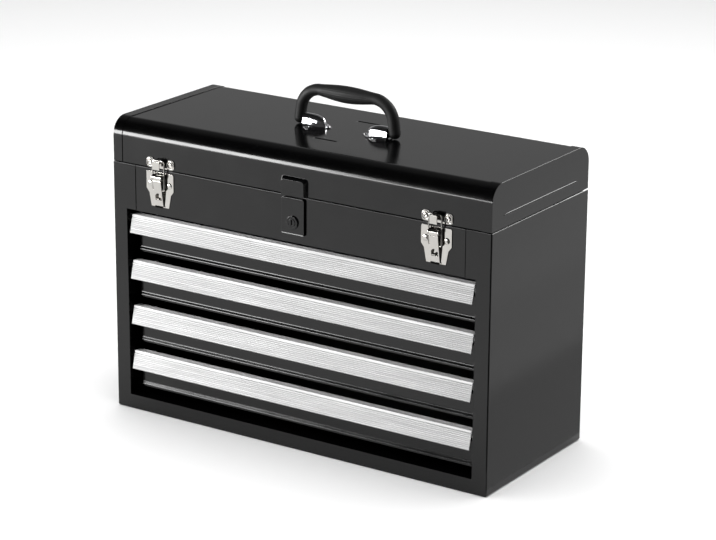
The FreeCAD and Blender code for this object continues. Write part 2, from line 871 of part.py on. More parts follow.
def drawer_rails(number):
    """The pair of angle rails on the drawer's sides, which slide in the case's channels."""
    body = new_body("drawer_%d_rails" % number)
    high = rail_top(number)
    wall = s.drawer_wall
    side = drawer_half
    reach = side + s.rail_reach
    angle = [(side, high - s.rail_plate), (side + wall, high - s.rail_plate), (side + wall, high - wall),
             (reach, high - wall), (reach, high), (side, high)]
    pad(body, "XZ", both(angle), drawer_front + s.rail_start, drawer_rear)
    return body


def runners(side, label):
    """The channels on one side of the case, each with a tab on the rear panel."""
    body = new_body(label)
    wall = s.drawer_wall
    lip = drawer_half + wall + s.runner_lip_gap
    for number in drawer_numbers():
        low = rail_top(number) - wall - s.slide_gap
        high = rail_top(number) + s.slide_gap + s.runner_play
        channel = [(opening_half, low - wall), (opening_half, high + wall), (lip, high + wall),
                   (lip, high), (opening_half - wall, high), (opening_half - wall, low), (lip, low),
                   (lip, low - wall)]
        tab = block(opening_half - wall, opening_half + s.runner_tab, low - wall, high + wall)
        if side < 0:
            channel = flipped(channel)
            tab = flipped(tab)
        pad(body, "XZ", [channel], front + s.runner_front, rear - s.steel)
        pad(body, "XZ", [tab], rear - s.steel - wall, rear - s.steel)
    return body


# Places on the latches, the lock, the handle and the lid stay
latch_place = half_width - s.latch_margin
latch_front = front - s.latch_steel
lever_out = front - s.lever_pivot_out
lever_level = s.case_height - s.lever_pivot_drop
bail_out = front - s.bail_pivot_out
bail_level = lever_level - s.bail_arm
keeper_front = lid_front - s.latch_steel
shelf_level = lid_base + s.shelf_rise
bar_level = shelf_level + s.bail_gap + s.wire_radius
lock_level = s.case_height - s.lock_drop
plate_out = front - s.escutcheon_out
barrel_rear = front + s.barrel_depth
cam_rear = barrel_rear + s.lock_gap + s.cam_steel
strike_front = cam_rear + s.lock_gap
handle_axis = lid_crown + s.handle_axis_rise
handle_crest = handle_axis + s.handle_rise
bracket_mouth = s.handle_half - s.bracket_gap
hood_end = bracket_mouth - s.bracket_hood
nose_end = hood_end - s.bracket_nose
bracket_tip = nose_end - s.bracket_tip_length
bracket_rivet_place = hood_end + s.bracket_rivet_inset
tip_rivet_place = bracket_tip + s.bracket_tip_half
plate_half = s.handle_half + s.plate_margin
stay_place = lid_end - s.stay_margin
latch_rivet_level = s.case_height - s.latch_rivet_drop
keeper_rivet_level = lid_base + s.keeper_rivet_rise


def mirrored_places(place, offset):
    """Two places beside each of the two latches."""
    return [place * side + offset * way for side in (-1, 1) for way in (-1, 1)]


def latch_rivet_sides():
    return mirrored_places(latch_place, s.latch_rivet_offset)


def keeper_rivet_sides():
    return mirrored_places(latch_place, s.keeper_rivet_offset)


def bracket_rivet_places():
    """Two rivets beside each handle bracket and one at its tip, as (x, y)."""
    places = []
    for side in (-1, 1):
        places.append((bracket_rivet_place * side, s.bracket_rivet_offset))
        places.append((bracket_rivet_place * side, -s.bracket_rivet_offset))
        places.append((tip_rivet_place * side, as_size(0)))
    return places


def rivet_group(label, plane, places, surface, outward, head, grip):
    """Rivets alike: a stepped head outside, a shank through the sheets and a tail behind them."""
    body = new_body(label)
    back = surface - grip * outward
    layers = [(s.rivet_tail_radius, back - s.rivet_tail * outward, back),
              (s.rivet_shank, back, surface)]
    for wide, foot, top in HEAD_SHARES:
        rise = s.rivet_dome * outward
        layers.append((head * wide, surface + rise * foot, surface + rise * top))
    for radius, inner, outer in layers:
        ends = (inner, outer) if outward > 0 else (outer, inner)
        pad(body, plane, [facets(u, v, radius) for u, v in places], *ends)
    return body


def latch_plate(side, label):
    """Riveted base of a draw latch, with two ears for the lever's pin and a staple below it."""
    body = new_body(label)
    middle = latch_place * side
    top = s.case_height - s.latch_top_drop
    shoulder = s.case_height - s.latch_shoulder_drop
    waist = s.case_height - s.latch_waist_drop
    foot = s.case_height - s.latch_foot_drop
    radius = s.latch_corner
    outline = [(middle - s.latch_foot_half, foot), (middle + s.latch_foot_half, foot),
               (middle + s.latch_waist_half, waist), (middle + s.latch_half, shoulder),
               (middle + s.latch_half, top - radius, radius), (middle + s.latch_half - radius, top),
               (middle - s.latch_half + radius, top, radius), (middle - s.latch_half, top - radius),
               (middle - s.latch_half, shoulder), (middle - s.latch_waist_half, waist)]
    pad(body, "XZ", [outline], latch_front, front)
    ear = s.ear_radius
    ear_outline = [(front, lever_level - ear), (front, lever_level + ear),
                   (lever_out, lever_level + ear, ear), (lever_out - ear, lever_level, ear),
                   (lever_out, lever_level - ear)]
    inner = s.lever_half + s.ear_gap
    outer = inner + s.latch_steel
    pad(body, "YZ", [ear_outline], middle - outer, middle - inner)
    pad(body, "YZ", [ear_outline], middle + inner, middle + outer)
    staple_level = s.case_height - s.staple_drop
    staple = block(middle - s.staple_half, middle + s.staple_half, staple_level,
                   staple_level + s.latch_steel)
    pad(body, "XZ", [staple], front - s.staple_out, front)
    cut(body, "YZ", [circle(lever_out, lever_level, s.latch_pin + s.fit)], middle - outer - s.overrun,
        middle + outer + s.overrun)
    holes = [facets(middle + s.latch_rivet_offset * way, latch_rivet_level, s.rivet_hole)
             for way in (-1, 1)]
    cut(body, "XZ", holes, latch_front - s.overrun, front + s.overrun)
    return body


def latch_lever(side, label):
    """Lever folded from sheet: curled round its pin, tapering cheeks, arched window, curled tip."""
    body = new_body(label)
    middle = latch_place * side
    steel = s.latch_steel
    curl = s.curl_radius
    foot_out = front - s.lever_foot_out
    foot = lever_level - s.lever_length
    face = [(foot_out - s.tip_out, foot - s.tip_drop), (foot_out - s.tip_out + steel, foot - s.tip_drop),
            (foot_out + steel, foot), (lever_out - curl + steel, lever_level),
            (lever_out - curl, lever_level), (foot_out, foot)]
    low, high = middle - s.lever_half, middle + s.lever_half
    pad(body, "YZ", [face], low, high)
    pad(body, "YZ", [circle(lever_out, lever_level, curl)], low, high)
    cheek_rear = latch_front - s.cheek_gap
    cheek = [(foot_out + steel / 2, foot + steel), (cheek_rear, foot + s.cheek_foot_rise),
             (cheek_rear, lever_level), (lever_out - curl + steel / 2, lever_level)]
    pad(body, "YZ", [cheek], low, low + steel)
    pad(body, "YZ", [cheek], high - steel, high)
    cut(body, "YZ", [circle(lever_out, lever_level, s.latch_pin + s.play),
                     circle(bail_out, bail_level, s.wire_radius + s.play)], low - s.overrun,
        high + s.overrun)
    window = s.window_half
    sill = s.case_height - s.window_drop
    arch = sill + s.window_height
    outline = [(middle - window, sill), (middle + window, sill), (middle + window, arch - window, window),
               (middle, arch, window), (middle - window, arch - window)]
    cut(body, "XZ", [outline], front - s.lever_pivot_out - curl, latch_front)
    return body


def latch_pin(side, label):
    body = new_body(label)
    middle = latch_place * side
    half = s.lever_half + s.ear_gap + s.latch_steel
    pad(body, "YZ", [circle(lever_out, lever_level, s.latch_pin)], middle - half, middle + half)
    return body


def latch_bail(side, label):
    """Wire loop from the lever's cheeks up over the keeper's shelf."""
    body = new_body(label)
    middle = latch_place * side
    half = s.bail_half
    bend = s.wire_bend * MITRE_SHARE
    foot = s.lever_half - s.latch_steel
    rise = [(foot, bail_level), (half, bail_level), (half, bar_level - bend), (half - bend, bar_level)]
    route = [(middle - u, v) for u, v in rise] + [(middle + u, v) for u, v in reversed(rise)]
    section = draw(body, "YZ", middle - foot, [facets(bail_out, bail_level, s.wire_radius)])
    pipe(body, "XZ", bail_out, route, section)
    return body


def latch_keeper(side, label):
    """Plate on the lid with two rounded ears, and a shelf with a lip that the wire loop pulls on."""
    body = new_body(label)
    middle = latch_place * side
    low = lid_base + s.keeper_foot_rise
    high = low + s.keeper_height
    outline = rounded(middle - s.keeper_half, middle + s.keeper_half, low, high, s.keeper_corner)
    pad(body, "XZ", [outline], keeper_front, lid_front)
    steel = s.latch_steel
    lip_out = front - s.lip_out
    lip_inner = lip_out + s.lip_steel
    profile = [(lip_out, low), (lip_inner, low), (lip_inner, shelf_level - steel),
               (lid_front, shelf_level - steel), (lid_front, shelf_level), (lip_inner, shelf_level),
               (lip_inner, shelf_level + s.lip_rise), (lip_out, shelf_level + s.lip_rise)]
    pad(body, "YZ", [profile], middle - s.shelf_half, middle + s.shelf_half)
    holes = [facets(middle + s.keeper_rivet_offset * way, keeper_rivet_level, s.rivet_hole)
             for way in (-1, 1)]
    cut(body, "XZ", holes, keeper_front - s.overrun, lid_front + s.overrun)
    return body


def latches():
    for side, name in ((-1, "left"), (1, "right")):
        latch_plate(side, "latch_plate_" + name)
        latch_lever(side, "latch_lever_" + name)
        latch_pin(side, "latch_pin_" + name)
        latch_bail(side, "latch_bail_" + name)
        latch_keeper(side, "latch_keeper_" + name)
    low = [(place, latch_rivet_level) for place in latch_rivet_sides()]
    rivet_group("latch_rivets", "XZ", low, latch_front, -1, s.latch_rivet_head, s.latch_steel + s.steel)
    high = [(place, keeper_rivet_level) for place in keeper_rivet_sides()]
    rivet_group("keeper_rivets", "XZ", high, keeper_front, -1, s.keeper_rivet_head,
                s.latch_steel + s.steel)


def lock_escutcheon():
    """Pressed plate round the lock, open at the back."""
    body = new_body("lock_escutcheon")
    half = s.escutcheon_half
    low = s.case_height - s.escutcheon_foot_drop
    high = s.case_height - s.escutcheon_top_drop
    radius = s.escutcheon_corner
    pad(body, "XZ", [rounded(-half, half, low, high, radius)], plate_out, front)
    step = s.latch_steel
    hollow = rounded(step - half, half - step, low + step, high - step, radius)
    cut(body, "XZ", [hollow], plate_out + step, front + s.overrun)
    cut(body, "XZ", [circle(0, lock_level, s.barrel_radius + s.fit)], plate_out - s.overrun,
        front + s.overrun)
    return body


def lock_pieces():
    """Barrel, plug, cam, cam screw and nut of the lid lock, and the hooked strike on the lid."""
    bore = s.plug_radius + s.play
    face = plate_out - s.barrel_flange
    barrel = new_body("lock_barrel")
    flange_edge = face + s.barrel_chamfer
    outline = [(bore, barrel_rear), (bore, face), (s.barrel_head_radius - s.barrel_chamfer, face),
               (s.barrel_head_radius, flange_edge), (s.barrel_head_radius, plate_out),
               (s.barrel_radius, plate_out), (s.barrel_radius, barrel_rear)]
    turn(barrel, "XY", lock_level, outline)
    plug = new_body("lock_plug")
    outline = [(0, face - s.plug_proud), (s.plug_radius, face - s.plug_proud),
               (s.plug_radius, barrel_rear + s.lock_gap), (s.plug_shaft, barrel_rear + s.lock_gap),
               (s.plug_shaft, cam_rear), (0, cam_rear)]
    turn(plug, "XY", lock_level, outline)
    keyway = block(-s.keyway_half, s.keyway_half, lock_level - s.keyway_reach,
                   lock_level + s.keyway_reach)
    cut(plug, "XZ", [keyway], face - s.plug_proud - s.overrun, face + s.keyway_depth)
    cam = new_body("lock_cam")
    cam_front = cam_rear - s.cam_steel
    pad(cam, "XZ", [circle(0, lock_level, s.cam_hub)], cam_front, cam_rear)
    arm = block(0, s.cam_reach, lock_level - s.cam_half, lock_level + s.cam_half)
    pad(cam, "XZ", [arm], cam_front, cam_rear)
    tip = block(s.cam_reach - s.cam_tip, s.cam_reach, lock_level - s.cam_half, lock_level + s.cam_half)
    pad(cam, "XZ", [tip], cam_front, cam_rear + s.cam_hook)
    cut(cam, "XZ", [circle(0, lock_level, s.plug_shaft + s.fit)], cam_front - s.overrun,
        cam_rear + s.cam_hook)
    screw = new_body("lock_cam_screw")
    pad(screw, "XZ", [circle(0, lock_level, s.cam_screw)], cam_rear, cam_rear + s.cam_screw_height)
    nut = new_body("lock_nut")
    corners = []
    for corner in range(NUT_SIDES):
        around = as_size(corner * FULL_TURN / NUT_SIDES)
        corners.append((s.nut_radius * cosine(around), lock_level + s.nut_radius * sine(around)))
    pad(nut, "XZ", [corners, circle(0, lock_level, s.barrel_radius + s.fit)], front + s.steel,
        front + s.steel + s.nut_height)
    strike = new_body("lid_strike")
    rear_face = strike_front + s.strike_steel
    low = lock_level + s.strike_hook_rise
    shelf = lid_base + s.strike_mount_rise
    top = shelf + s.strike_steel
    wide = lid_base + s.strike_neck_rise
    hook = [(-s.strike_half, low), (s.strike_tongue, low), (s.strike_tongue, low + s.strike_hook_height),
            (-s.strike_neck, low + s.strike_hook_height), (-s.strike_neck, wide),
            (s.strike_half, wide), (s.strike_half, top), (-s.strike_half, top)]
    pad(strike, "XZ", [hook], strike_front, rear_face)
    inner_wall = lid_front + s.steel
    bracket = [(inner_wall, shelf), (rear_face, shelf), (rear_face, top),
               (inner_wall + s.strike_steel, top), (inner_wall + s.strike_steel, shelf + s.strike_mount),
               (inner_wall, shelf + s.strike_mount)]
    pad(strike, "YZ", [bracket], -s.strike_half, s.strike_half)


def carry_handle():
    """Moulded handle: two leaning legs, each bent over into a grip that swells in the hand."""
    body = new_body("handle_grip")
    slope_sine, slope_cosine = sine(s.handle_slope), cosine(s.handle_slope)
    foot = handle_axis - s.handle_foot_drop
    bend_level = handle_crest - s.handle_bend
    knee = bend_level + s.handle_bend * slope_cosine
    crest_half = s.handle_half - (knee - foot) * slope_cosine / slope_sine - s.handle_bend * slope_sine
    swell = [(crest_half * along, s.leg_radius + (s.grip_radius - s.leg_radius) * out)
             for along, out in GRIP_SHARES]
    swell = [(crest_half, 0)] + swell + [(-x, y) for x, y in reversed(swell)] + [(-crest_half, 0)]
    turn(body, "XY", handle_crest, swell, axis="H_Axis")
    for side in (-1, 1):
        route = [(s.handle_half * side, foot)]
        for share in BEND_SHARES:
            angle = s.handle_slope * (1 - share)
            route.append(((crest_half + s.handle_bend * sine(angle)) * side,
                          bend_level + s.handle_bend * cosine(angle)))
        route.append((crest_half * GRIP_SHARES[2][0] * side, handle_crest))
        section = body.newObject("Sketcher::SketchObject", "handle_foot_section")
        section.AttachmentSupport = [(origin_part(body, "YZ_Plane"), "")]
        section.MapMode = "FlatFace"
        lean = FreeCAD.Rotation(FreeCAD.Vector(1, 0, 0), s.handle_slope.value * side)
        section.AttachmentOffset = FreeCAD.Placement(FreeCAD.Vector(0, 0, 0), lean)
        bind(section, "AttachmentOffset.Base.y", foot)
        bind(section, "AttachmentOffset.Base.z", s.handle_half * side)
        trace(section, [circle(0, 0, s.leg_radius)])
        pipe(body, "XZ", 0, route, section)
    doc.recompute()
    base = body.Tip
    ends = ["Edge%d" % number for number, edge in enumerate(base.Shape.Edges, start=1)
            if edge.BoundBox.ZMax < handle_axis.value]
    feet = body.newObject("PartDesign::Chamfer", "handle_feet")
    feet.Base = (base, ends)
    bind(feet, "Size", s.foot_round)
    body.Tip = feet
    bore = circle(0, handle_axis, s.handle_pin + s.fit)
    for side in (-1, 1):
        cut(body, "YZ", [bore], *between(side, s.handle_half - s.leg_radius - s.overrun, s.handle_half))
    return body


def handle_pins():
    """The two ends of the steel core, turned inward into the brackets."""
    body = new_body("handle_pins")
    for side in (-1, 1):
        pad(body, "YZ", [circle(0, handle_axis, s.handle_pin)],
            *between(side, s.handle_half - s.handle_pin_reach, s.handle_half))
    return body


def hood(body, side, mouth, half, nose, low, taking=False):
    """A bullet-shaped hood that stands on a level with straight walls, and is round above them."""
    length = hood_end - nose
    flank = [(mouth, half)]
    flank += [(hood_end - length * along, half * out) for along, out in NOSE_SHARES]
    plan = flank + [(nose, 0)] + [(x, -y) for x, y in reversed(flank)]
    profile = [(mouth, 0)] + flank + [(nose, 0)]
    if side < 0:
        plan, profile = flipped(plan), flipped(profile)
    axis_level = lid_crown + s.bracket_half
    if taking:
        cut(body, "XY", [plan], low, axis_level)
    else:
        pad(body, "XY", [plan], low, axis_level)
    turn(body, "XY", axis_level, profile, axis="H_Axis", taking=taking)


def handle_bracket(side, label):
    """Pressed bracket that holds one end of the handle: a hollow hood on a riveted flange."""
    body = new_body(label)
    steel = s.bracket_steel
    wide = s.bracket_flange_half
    shoulder = bracket_mouth - s.bracket_shoulder
    knee = hood_end - s.bracket_knee
    flange = [(bracket_mouth, -s.bracket_half), (bracket_mouth, s.bracket_half), (shoulder, wide),
              (knee, wide), (bracket_tip, s.bracket_tip_half), (bracket_tip, -s.bracket_tip_half),
              (knee, -wide), (shoulder, -wide)]
    if side < 0:
        flange = flipped(flange)
    pad(body, "XY", [flange], lid_crown, lid_crown + steel)
    hood(body, side, bracket_mouth, s.bracket_half, nose_end, lid_crown)
    hood(body, side, bracket_mouth - steel, s.bracket_half - steel, nose_end + steel,
         lid_crown - s.overrun, taking=True)
    cut(body, "YZ", [circle(0, handle_axis, s.handle_pin + s.play)],
        *between(side, bracket_mouth - steel - s.overrun, bracket_mouth + s.overrun))
    holes = [facets(u, v, s.rivet_hole) for u, v in bracket_rivet_places()]
    cut(body, "XY", holes, lid_crown - s.overrun, lid_crown + steel)
    return body


def handle_plate():
    """Stiffener under the lid's top, with two tabs that stand up into the slots."""
    body = new_body("handle_plate")
    under = lid_crown - s.steel
    half_tab = s.slot_width / 2 - s.slot_gap
    reach = s.slot_place + half_tab
    pad(body, "XY", [block(-plate_half, plate_half, -reach, reach)], under - s.plate_steel, under)
    tab = block(s.slot_gap - s.slot_half, s.slot_half - s.slot_gap, s.slot_place - half_tab, reach)
    tab_ahead = block(s.slot_gap - s.slot_half, s.slot_half - s.slot_gap, -reach,
                      half_tab - s.slot_place)
    pad(body, "XY", [tab, tab_ahead], under - s.plate_steel, lid_crown - s.slot_gap)
    holes = [facets(u, v, s.rivet_hole) for u, v in bracket_rivet_places()]
    cut(body, "XY", holes, under - s.plate_steel - s.overrun, under + s.overrun)
    return body


def stay_pivot(angle):
    """A point on the circle round the hinge line that both ends of the lid stay lie on."""
    return rear + s.stay_radius * cosine(angle), s.case_height + s.stay_radius * sine(angle)


def lid_stay():
    """Slotted arm from the lid to a stud on the case. Both pivots lie on one circle round the
    hinge line, so the arm turns by half the lid's angle while its slot runs along the stud."""
    pivot_y, pivot_z = stay_pivot(s.stay_lid_angle)
    heading = (s.stay_lid_angle + s.stay_case_angle) / 2 + QUARTER_TURN
    across_angle = s.stay_case_angle - s.stay_lid_angle
    shortest = s.stay_radius * 2 * sine(across_angle / 2)
    longest = s.stay_radius * 2 * sine((across_angle + s.lid_swing) / 2)
    ahead, up = cosine(heading), sine(heading)

    def stretch(first, last, half):
        """An outline with round ends along the arm."""
        corners = [(first, -half, None), (last, -half, half), (last + half, as_size(0), half),
                   (last, half, None), (first, half, half), (first - half, as_size(0), half)]
        outline = []
        for along, across, radius in corners:
            point = (pivot_y + along * ahead - across * up, pivot_z + along * up + across * ahead)
            outline.append(point if radius is None else point + (radius,))
        return outline

    body = new_body("lid_stay_arm")
    inner = stay_place
    outer = stay_place + s.stay_steel
    pad(body, "YZ", [stretch(as_size(0), longest, s.stay_half)], inner, outer)
    slot_half = s.stud_radius + s.stud_gap
    cut(body, "YZ", [stretch(shortest, longest, slot_half), circle(pivot_y, pivot_z, slot_half)],
        inner - s.overrun, outer + s.overrun)
    stud("stay_lid_stud", (pivot_y, pivot_z), lid_end - s.steel)
    stud("stay_case_stud", stay_pivot(s.stay_case_angle), inner_side)


def stud(label, place, wall):
    """A headed stud with a shoulder, fixed to a wall."""
    body = new_body(label)
    inner = stay_place - s.stay_side_gap
    outer = stay_place + s.stay_steel + s.stay_side_gap
    pad(body, "YZ", [circle(*place, s.stud_radius)], inner - s.stud_head_height, outer)
    pad(body, "YZ", [facets(*place, s.stud_head)], inner - s.stud_head_height, inner)
    pad(body, "YZ", [facets(*place, s.stud_head)], outer, wall)
    return body


def build():
    """Makes every sub-part."""
    case_body()
    case_back()
    front_fascia()
    till_floor()
    till_liner()
    lid_shell()
    lid_end_cap(-1, "lid_end_left")
    lid_end_cap(1, "lid_end_right")
    hinge_pieces()
    for number in drawer_numbers():
        drawer_tray(number)
        drawer_pull(number)
        drawer_mat(number)
        drawer_rails(number)
    runners(-1, "runners_left")
    runners(1, "runners_right")
    latches()
    lock_escutcheon()
    lock_pieces()
    carry_handle()
    handle_pins()
    handle_bracket(-1, "handle_bracket_left")
    handle_bracket(1, "handle_bracket_right")
    rivet_group("bracket_rivets", "XY", bracket_rivet_places(), lid_crown + s.bracket_steel, 1,
                s.bracket_rivet_head, s.bracket_steel + s.steel + s.plate_steel)
    handle_plate()
    lid_stay()


def check_and_write():
    """Stops on any failed feature or shape, and writes each sub-part as a STEP file."""
    doc.recompute()
    for item in doc.Objects:
        if "Invalid" in item.State or "Error" in item.State:
            raise ValueError("%s failed: %s" % (item.Label, item.State))
    os.makedirs("parts", exist_ok=True)
    for body in doc.findObjects("PartDesign::Body"):
        shape = body.Shape
        if shape.isNull() or not shape.isValid() or not shape.Solids:
            raise ValueError("%s has no valid solid" % body.Label)
        shape.exportStep("parts/%s.step" % body.Label)
        print(body.Label, len(shape.Solids), round(shape.Volume, 1))


build()
check_and_write()
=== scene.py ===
import math
import json
import bmesh
import bpy
from mathutils import Matrix, Vector


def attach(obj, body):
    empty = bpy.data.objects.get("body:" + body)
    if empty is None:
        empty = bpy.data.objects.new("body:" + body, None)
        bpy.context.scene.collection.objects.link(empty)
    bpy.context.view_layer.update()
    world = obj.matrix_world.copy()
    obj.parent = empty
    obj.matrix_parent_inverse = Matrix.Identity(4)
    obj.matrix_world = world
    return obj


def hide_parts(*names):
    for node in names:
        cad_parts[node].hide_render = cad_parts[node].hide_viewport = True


# Black steel tool box with four drawers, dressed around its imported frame. Metres, X right, Y rear, Z up.

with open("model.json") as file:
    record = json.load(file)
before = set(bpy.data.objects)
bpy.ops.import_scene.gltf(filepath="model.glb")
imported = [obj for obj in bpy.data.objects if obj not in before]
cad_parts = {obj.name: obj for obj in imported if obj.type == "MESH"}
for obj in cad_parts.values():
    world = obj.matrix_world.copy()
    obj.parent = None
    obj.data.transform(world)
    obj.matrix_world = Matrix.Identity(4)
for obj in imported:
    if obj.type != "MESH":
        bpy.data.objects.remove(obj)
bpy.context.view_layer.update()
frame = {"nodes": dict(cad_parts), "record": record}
mm = 0.001
bodyOf = {node: body for body, nodes in frame["record"]["behaviour"]["bodies"].items() for node in nodes}
slotOf = {part["node"]: part["material_slot"] for part in frame["record"]["subparts"]}
print("frame loaded:", len(frame["nodes"]), "nodes")

# Fitted to the corners that the photo shows. Angles in degrees.
photoCamera = {
    "azimuth": 33.299, "elevation": 17.854, "roll": 0.419,
    "distance": 3.134681, "shiftRight": 0.0139, "shiftUp": 0.010103,
    "aimHeight": 0.18, "focalPixels": 2664.399, "photoWidth": 716, "sensor": 36, "clipStart": 0.05,
}


def placeCamera(c):
    turn, rise, roll = (math.radians(c[key]) for key in ("azimuth", "elevation", "roll"))
    back = Vector((math.sin(turn) * math.cos(rise), -math.cos(turn) * math.cos(rise), math.sin(rise)))
    level = (-back).cross(Vector((0, 0, 1))).normalized()
    upright = level.cross(-back)
    right = math.cos(roll) * level + math.sin(roll) * upright
    up = math.cos(roll) * upright - math.sin(roll) * level
    place = back * c["distance"] + right * c["shiftRight"] + up * c["shiftUp"]
    place += Vector((0, 0, c["aimHeight"]))
    lens = bpy.data.cameras.new("photoCamera")
    lens.sensor_width = c["sensor"]
    lens.lens = c["focalPixels"] / c["photoWidth"] * c["sensor"]
    lens.clip_start = c["clipStart"]
    camera = bpy.data.objects.new("photoCamera", lens)
    bpy.context.scene.collection.objects.link(camera)
    camera.matrix_world = Matrix.Translation(place) @ Matrix((right, up, back)).transposed().to_4x4()
    bpy.context.scene.camera = camera


placeCamera(photoCamera)
print("camera placed")

# Each material blends two colours and two roughnesses by a noise, and stretch draws its grain out.
textureValues = {"patchDetail": 5, "grainDetail": 3, "blendLow": 0.3, "blendHigh": 0.7, "plainIor": 1.5}
paintValues = {"base": (0.0007, 0.0007, 0.0008), "other": (0.0012, 0.0012, 0.0013), "metallic": 0.0,
               "roughness": (0.12, 0.17), "stretch": (1, 1, 1), "patchScale": 35, "grainScale": 900,
               "bump": 0.1, "bumpDistance": 0.0001, "ior": 1.4}
nickelValues = {"base": (0.5, 0.485, 0.46), "other": (0.4, 0.39, 0.37), "metallic": 1.0,
                "roughness": (0.06, 0.13), "stretch": (1, 1, 0.12), "patchScale": 160, "grainScale": 2600,
                "bump": 0.12, "bumpDistance": 0.00006}
chromeValues = {"base": (0.74, 0.74, 0.75), "other": (0.66, 0.66, 0.68), "metallic": 1.0,
                "roughness": (0.05, 0.1), "stretch": (1, 1, 1), "patchScale": 90, "grainScale": 1500,
                "bump": 0.05, "bumpDistance": 0.00005}
aluminiumValues = {"base": (0.44, 0.44, 0.44), "other": (0.36, 0.36, 0.36), "metallic": 1.0,
                   "roughness": (0.58, 0.72), "stretch": (0.012, 1, 1), "patchScale": 900,
                   "grainScale": 3800, "bump": 0.2, "bumpDistance": 0.00005}
zincValues = {"base": (0.56, 0.57, 0.59), "other": (0.42, 0.43, 0.45), "metallic": 1.0,
              "roughness": (0.3, 0.5), "stretch": (1, 1, 1), "patchScale": 220, "grainScale": 1800,
              "bump": 0.1, "bumpDistance": 0.00005}
rubberValues = {"base": (0.02, 0.02, 0.021), "other": (0.03, 0.03, 0.031), "metallic": 0.0,
                "roughness": (0.7, 0.85), "stretch": (1, 1, 1), "patchScale": 60, "grainScale": 700,
                "bump": 0.5, "bumpDistance": 0.0003}
gripValues = {"base": (0.004, 0.004, 0.004), "other": (0.007, 0.007, 0.007), "metallic": 0.0,
              "roughness": (0.55, 0.68), "stretch": (1, 1, 1), "patchScale": 80, "grainScale": 1600,
              "bump": 0.3, "bumpDistance": 0.00015, "ior": 1.36}


def makeMaterial(name, v):
    material = bpy.data.materials.new(name)
    material.use_nodes = True
    tree = material.node_tree
    shader = tree.nodes["Principled BSDF"]
    place = tree.nodes.new("ShaderNodeTexCoord")
    mapping = tree.nodes.new("ShaderNodeMapping")
    mapping.inputs["Scale"].default_value = v["stretch"]
    tree.links.new(place.outputs["Object"], mapping.inputs["Vector"])
    patches = tree.nodes.new("ShaderNodeTexNoise")
    patches.inputs["Scale"].default_value = v["patchScale"]
    patches.inputs["Detail"].default_value = textureValues["patchDetail"]
    grain = tree.nodes.new("ShaderNodeTexNoise")
    grain.inputs["Scale"].default_value = v["grainScale"]
    grain.inputs["Detail"].default_value = textureValues["grainDetail"]
    for texture in (patches, grain):
        tree.links.new(mapping.outputs["Vector"], texture.inputs["Vector"])
    colour = tree.nodes.new("ShaderNodeMix")
    colour.data_type = "RGBA"
    # Inputs 6 and 7 and output 2 are the node's colour sockets.
    colour.inputs[6].default_value = (*v["base"], 1)
    colour.inputs[7].default_value = (*v["other"], 1)
    tree.links.new(patches.outputs["Fac"], colour.inputs[0])
    tree.links.new(colour.outputs[2], shader.inputs["Base Color"])
    gloss = tree.nodes.new("ShaderNodeMapRange")
    gloss.inputs["From Min"].default_value = textureValues["blendLow"]
    gloss.inputs["From Max"].default_value = textureValues["blendHigh"]
    gloss.inputs["To Min"].default_value, gloss.inputs["To Max"].default_value = v["roughness"]
    tree.links.new(patches.outputs["Fac"], gloss.inputs["Value"])
    tree.links.new(gloss.outputs["Result"], shader.inputs["Roughness"])
    bump = tree.nodes.new("ShaderNodeBump")
    bump.inputs["Strength"].default_value = v["bump"]
    bump.inputs["Distance"].default_value = v["bumpDistance"]
    tree.links.new(grain.outputs["Fac"], bump.inputs["Height"])
    tree.links.new(bump.outputs["Normal"], shader.inputs["Normal"])
    shader.inputs["Metallic"].default_value = v["metallic"]
    shader.inputs["IOR"].default_value = v.get("ior", textureValues["plainIor"])
    return material


blackPaint = makeMaterial("blackPaint", paintValues)
nickel = makeMaterial("nickel", nickelValues)
chrome = makeMaterial("chrome", chromeValues)
aluminium = makeMaterial("aluminium", aluminiumValues)
zinc = makeMaterial("zinc", zincValues)
matRubber = makeMaterial("matRubber", rubberValues)
gripRubber = makeMaterial("gripRubber", gripValues)
bySlot = {"black_paint": blackPaint, "nickel": nickel, "chrome": chrome, "zinc": zinc,
          "pull_aluminium": aluminium, "mat_rubber": matRubber, "grip_plastic": gripRubber}
print("materials made")

meshValues = {"weld": 0.00001, "flatAngle": 1, "cutGap": 0.000005, "levelGap": 0.00001}


def addPiece(name, form, material, body, node, sharpAngle=35, weighted=True):
    bmesh.ops.recalc_face_normals(form, faces=form.faces)
    mesh = bpy.data.meshes.new(name)
    form.to_mesh(mesh)
    form.free()
    for face in mesh.polygons:
        face.use_smooth = True
    mesh.set_sharp_from_angle(angle=math.radians(sharpAngle))
    mesh.materials.append(material)
    piece = bpy.data.objects.new(name, mesh)
    bpy.context.scene.collection.objects.link(piece)
    if weighted:
        normals = piece.modifiers.new("normals", "WEIGHTED_NORMAL")
        normals.keep_sharp = True
    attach(piece, body)
    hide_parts(node)


def nodeForm(node):
    form = bmesh.new()
    form.from_mesh(frame["nodes"][node].data)
    bmesh.ops.remove_doubles(form, verts=form.verts, dist=meshValues["weld"])
    bmesh.ops.dissolve_limit(form, angle_limit=math.radians(meshValues["flatAngle"]), verts=form.verts,
                             edges=form.edges)
    return form


def softenEdges(form, width, segments=2, over=30):
    edges = [edge for edge in form.edges
             if edge.is_manifold and edge.calc_face_angle(0) > math.radians(over)]
    bmesh.ops.bevel(form, geom=edges, offset=width, offset_type="OFFSET", segments=segments,
                    affect="EDGES", profile=0.5, material=-1, clamp_overlap=True)


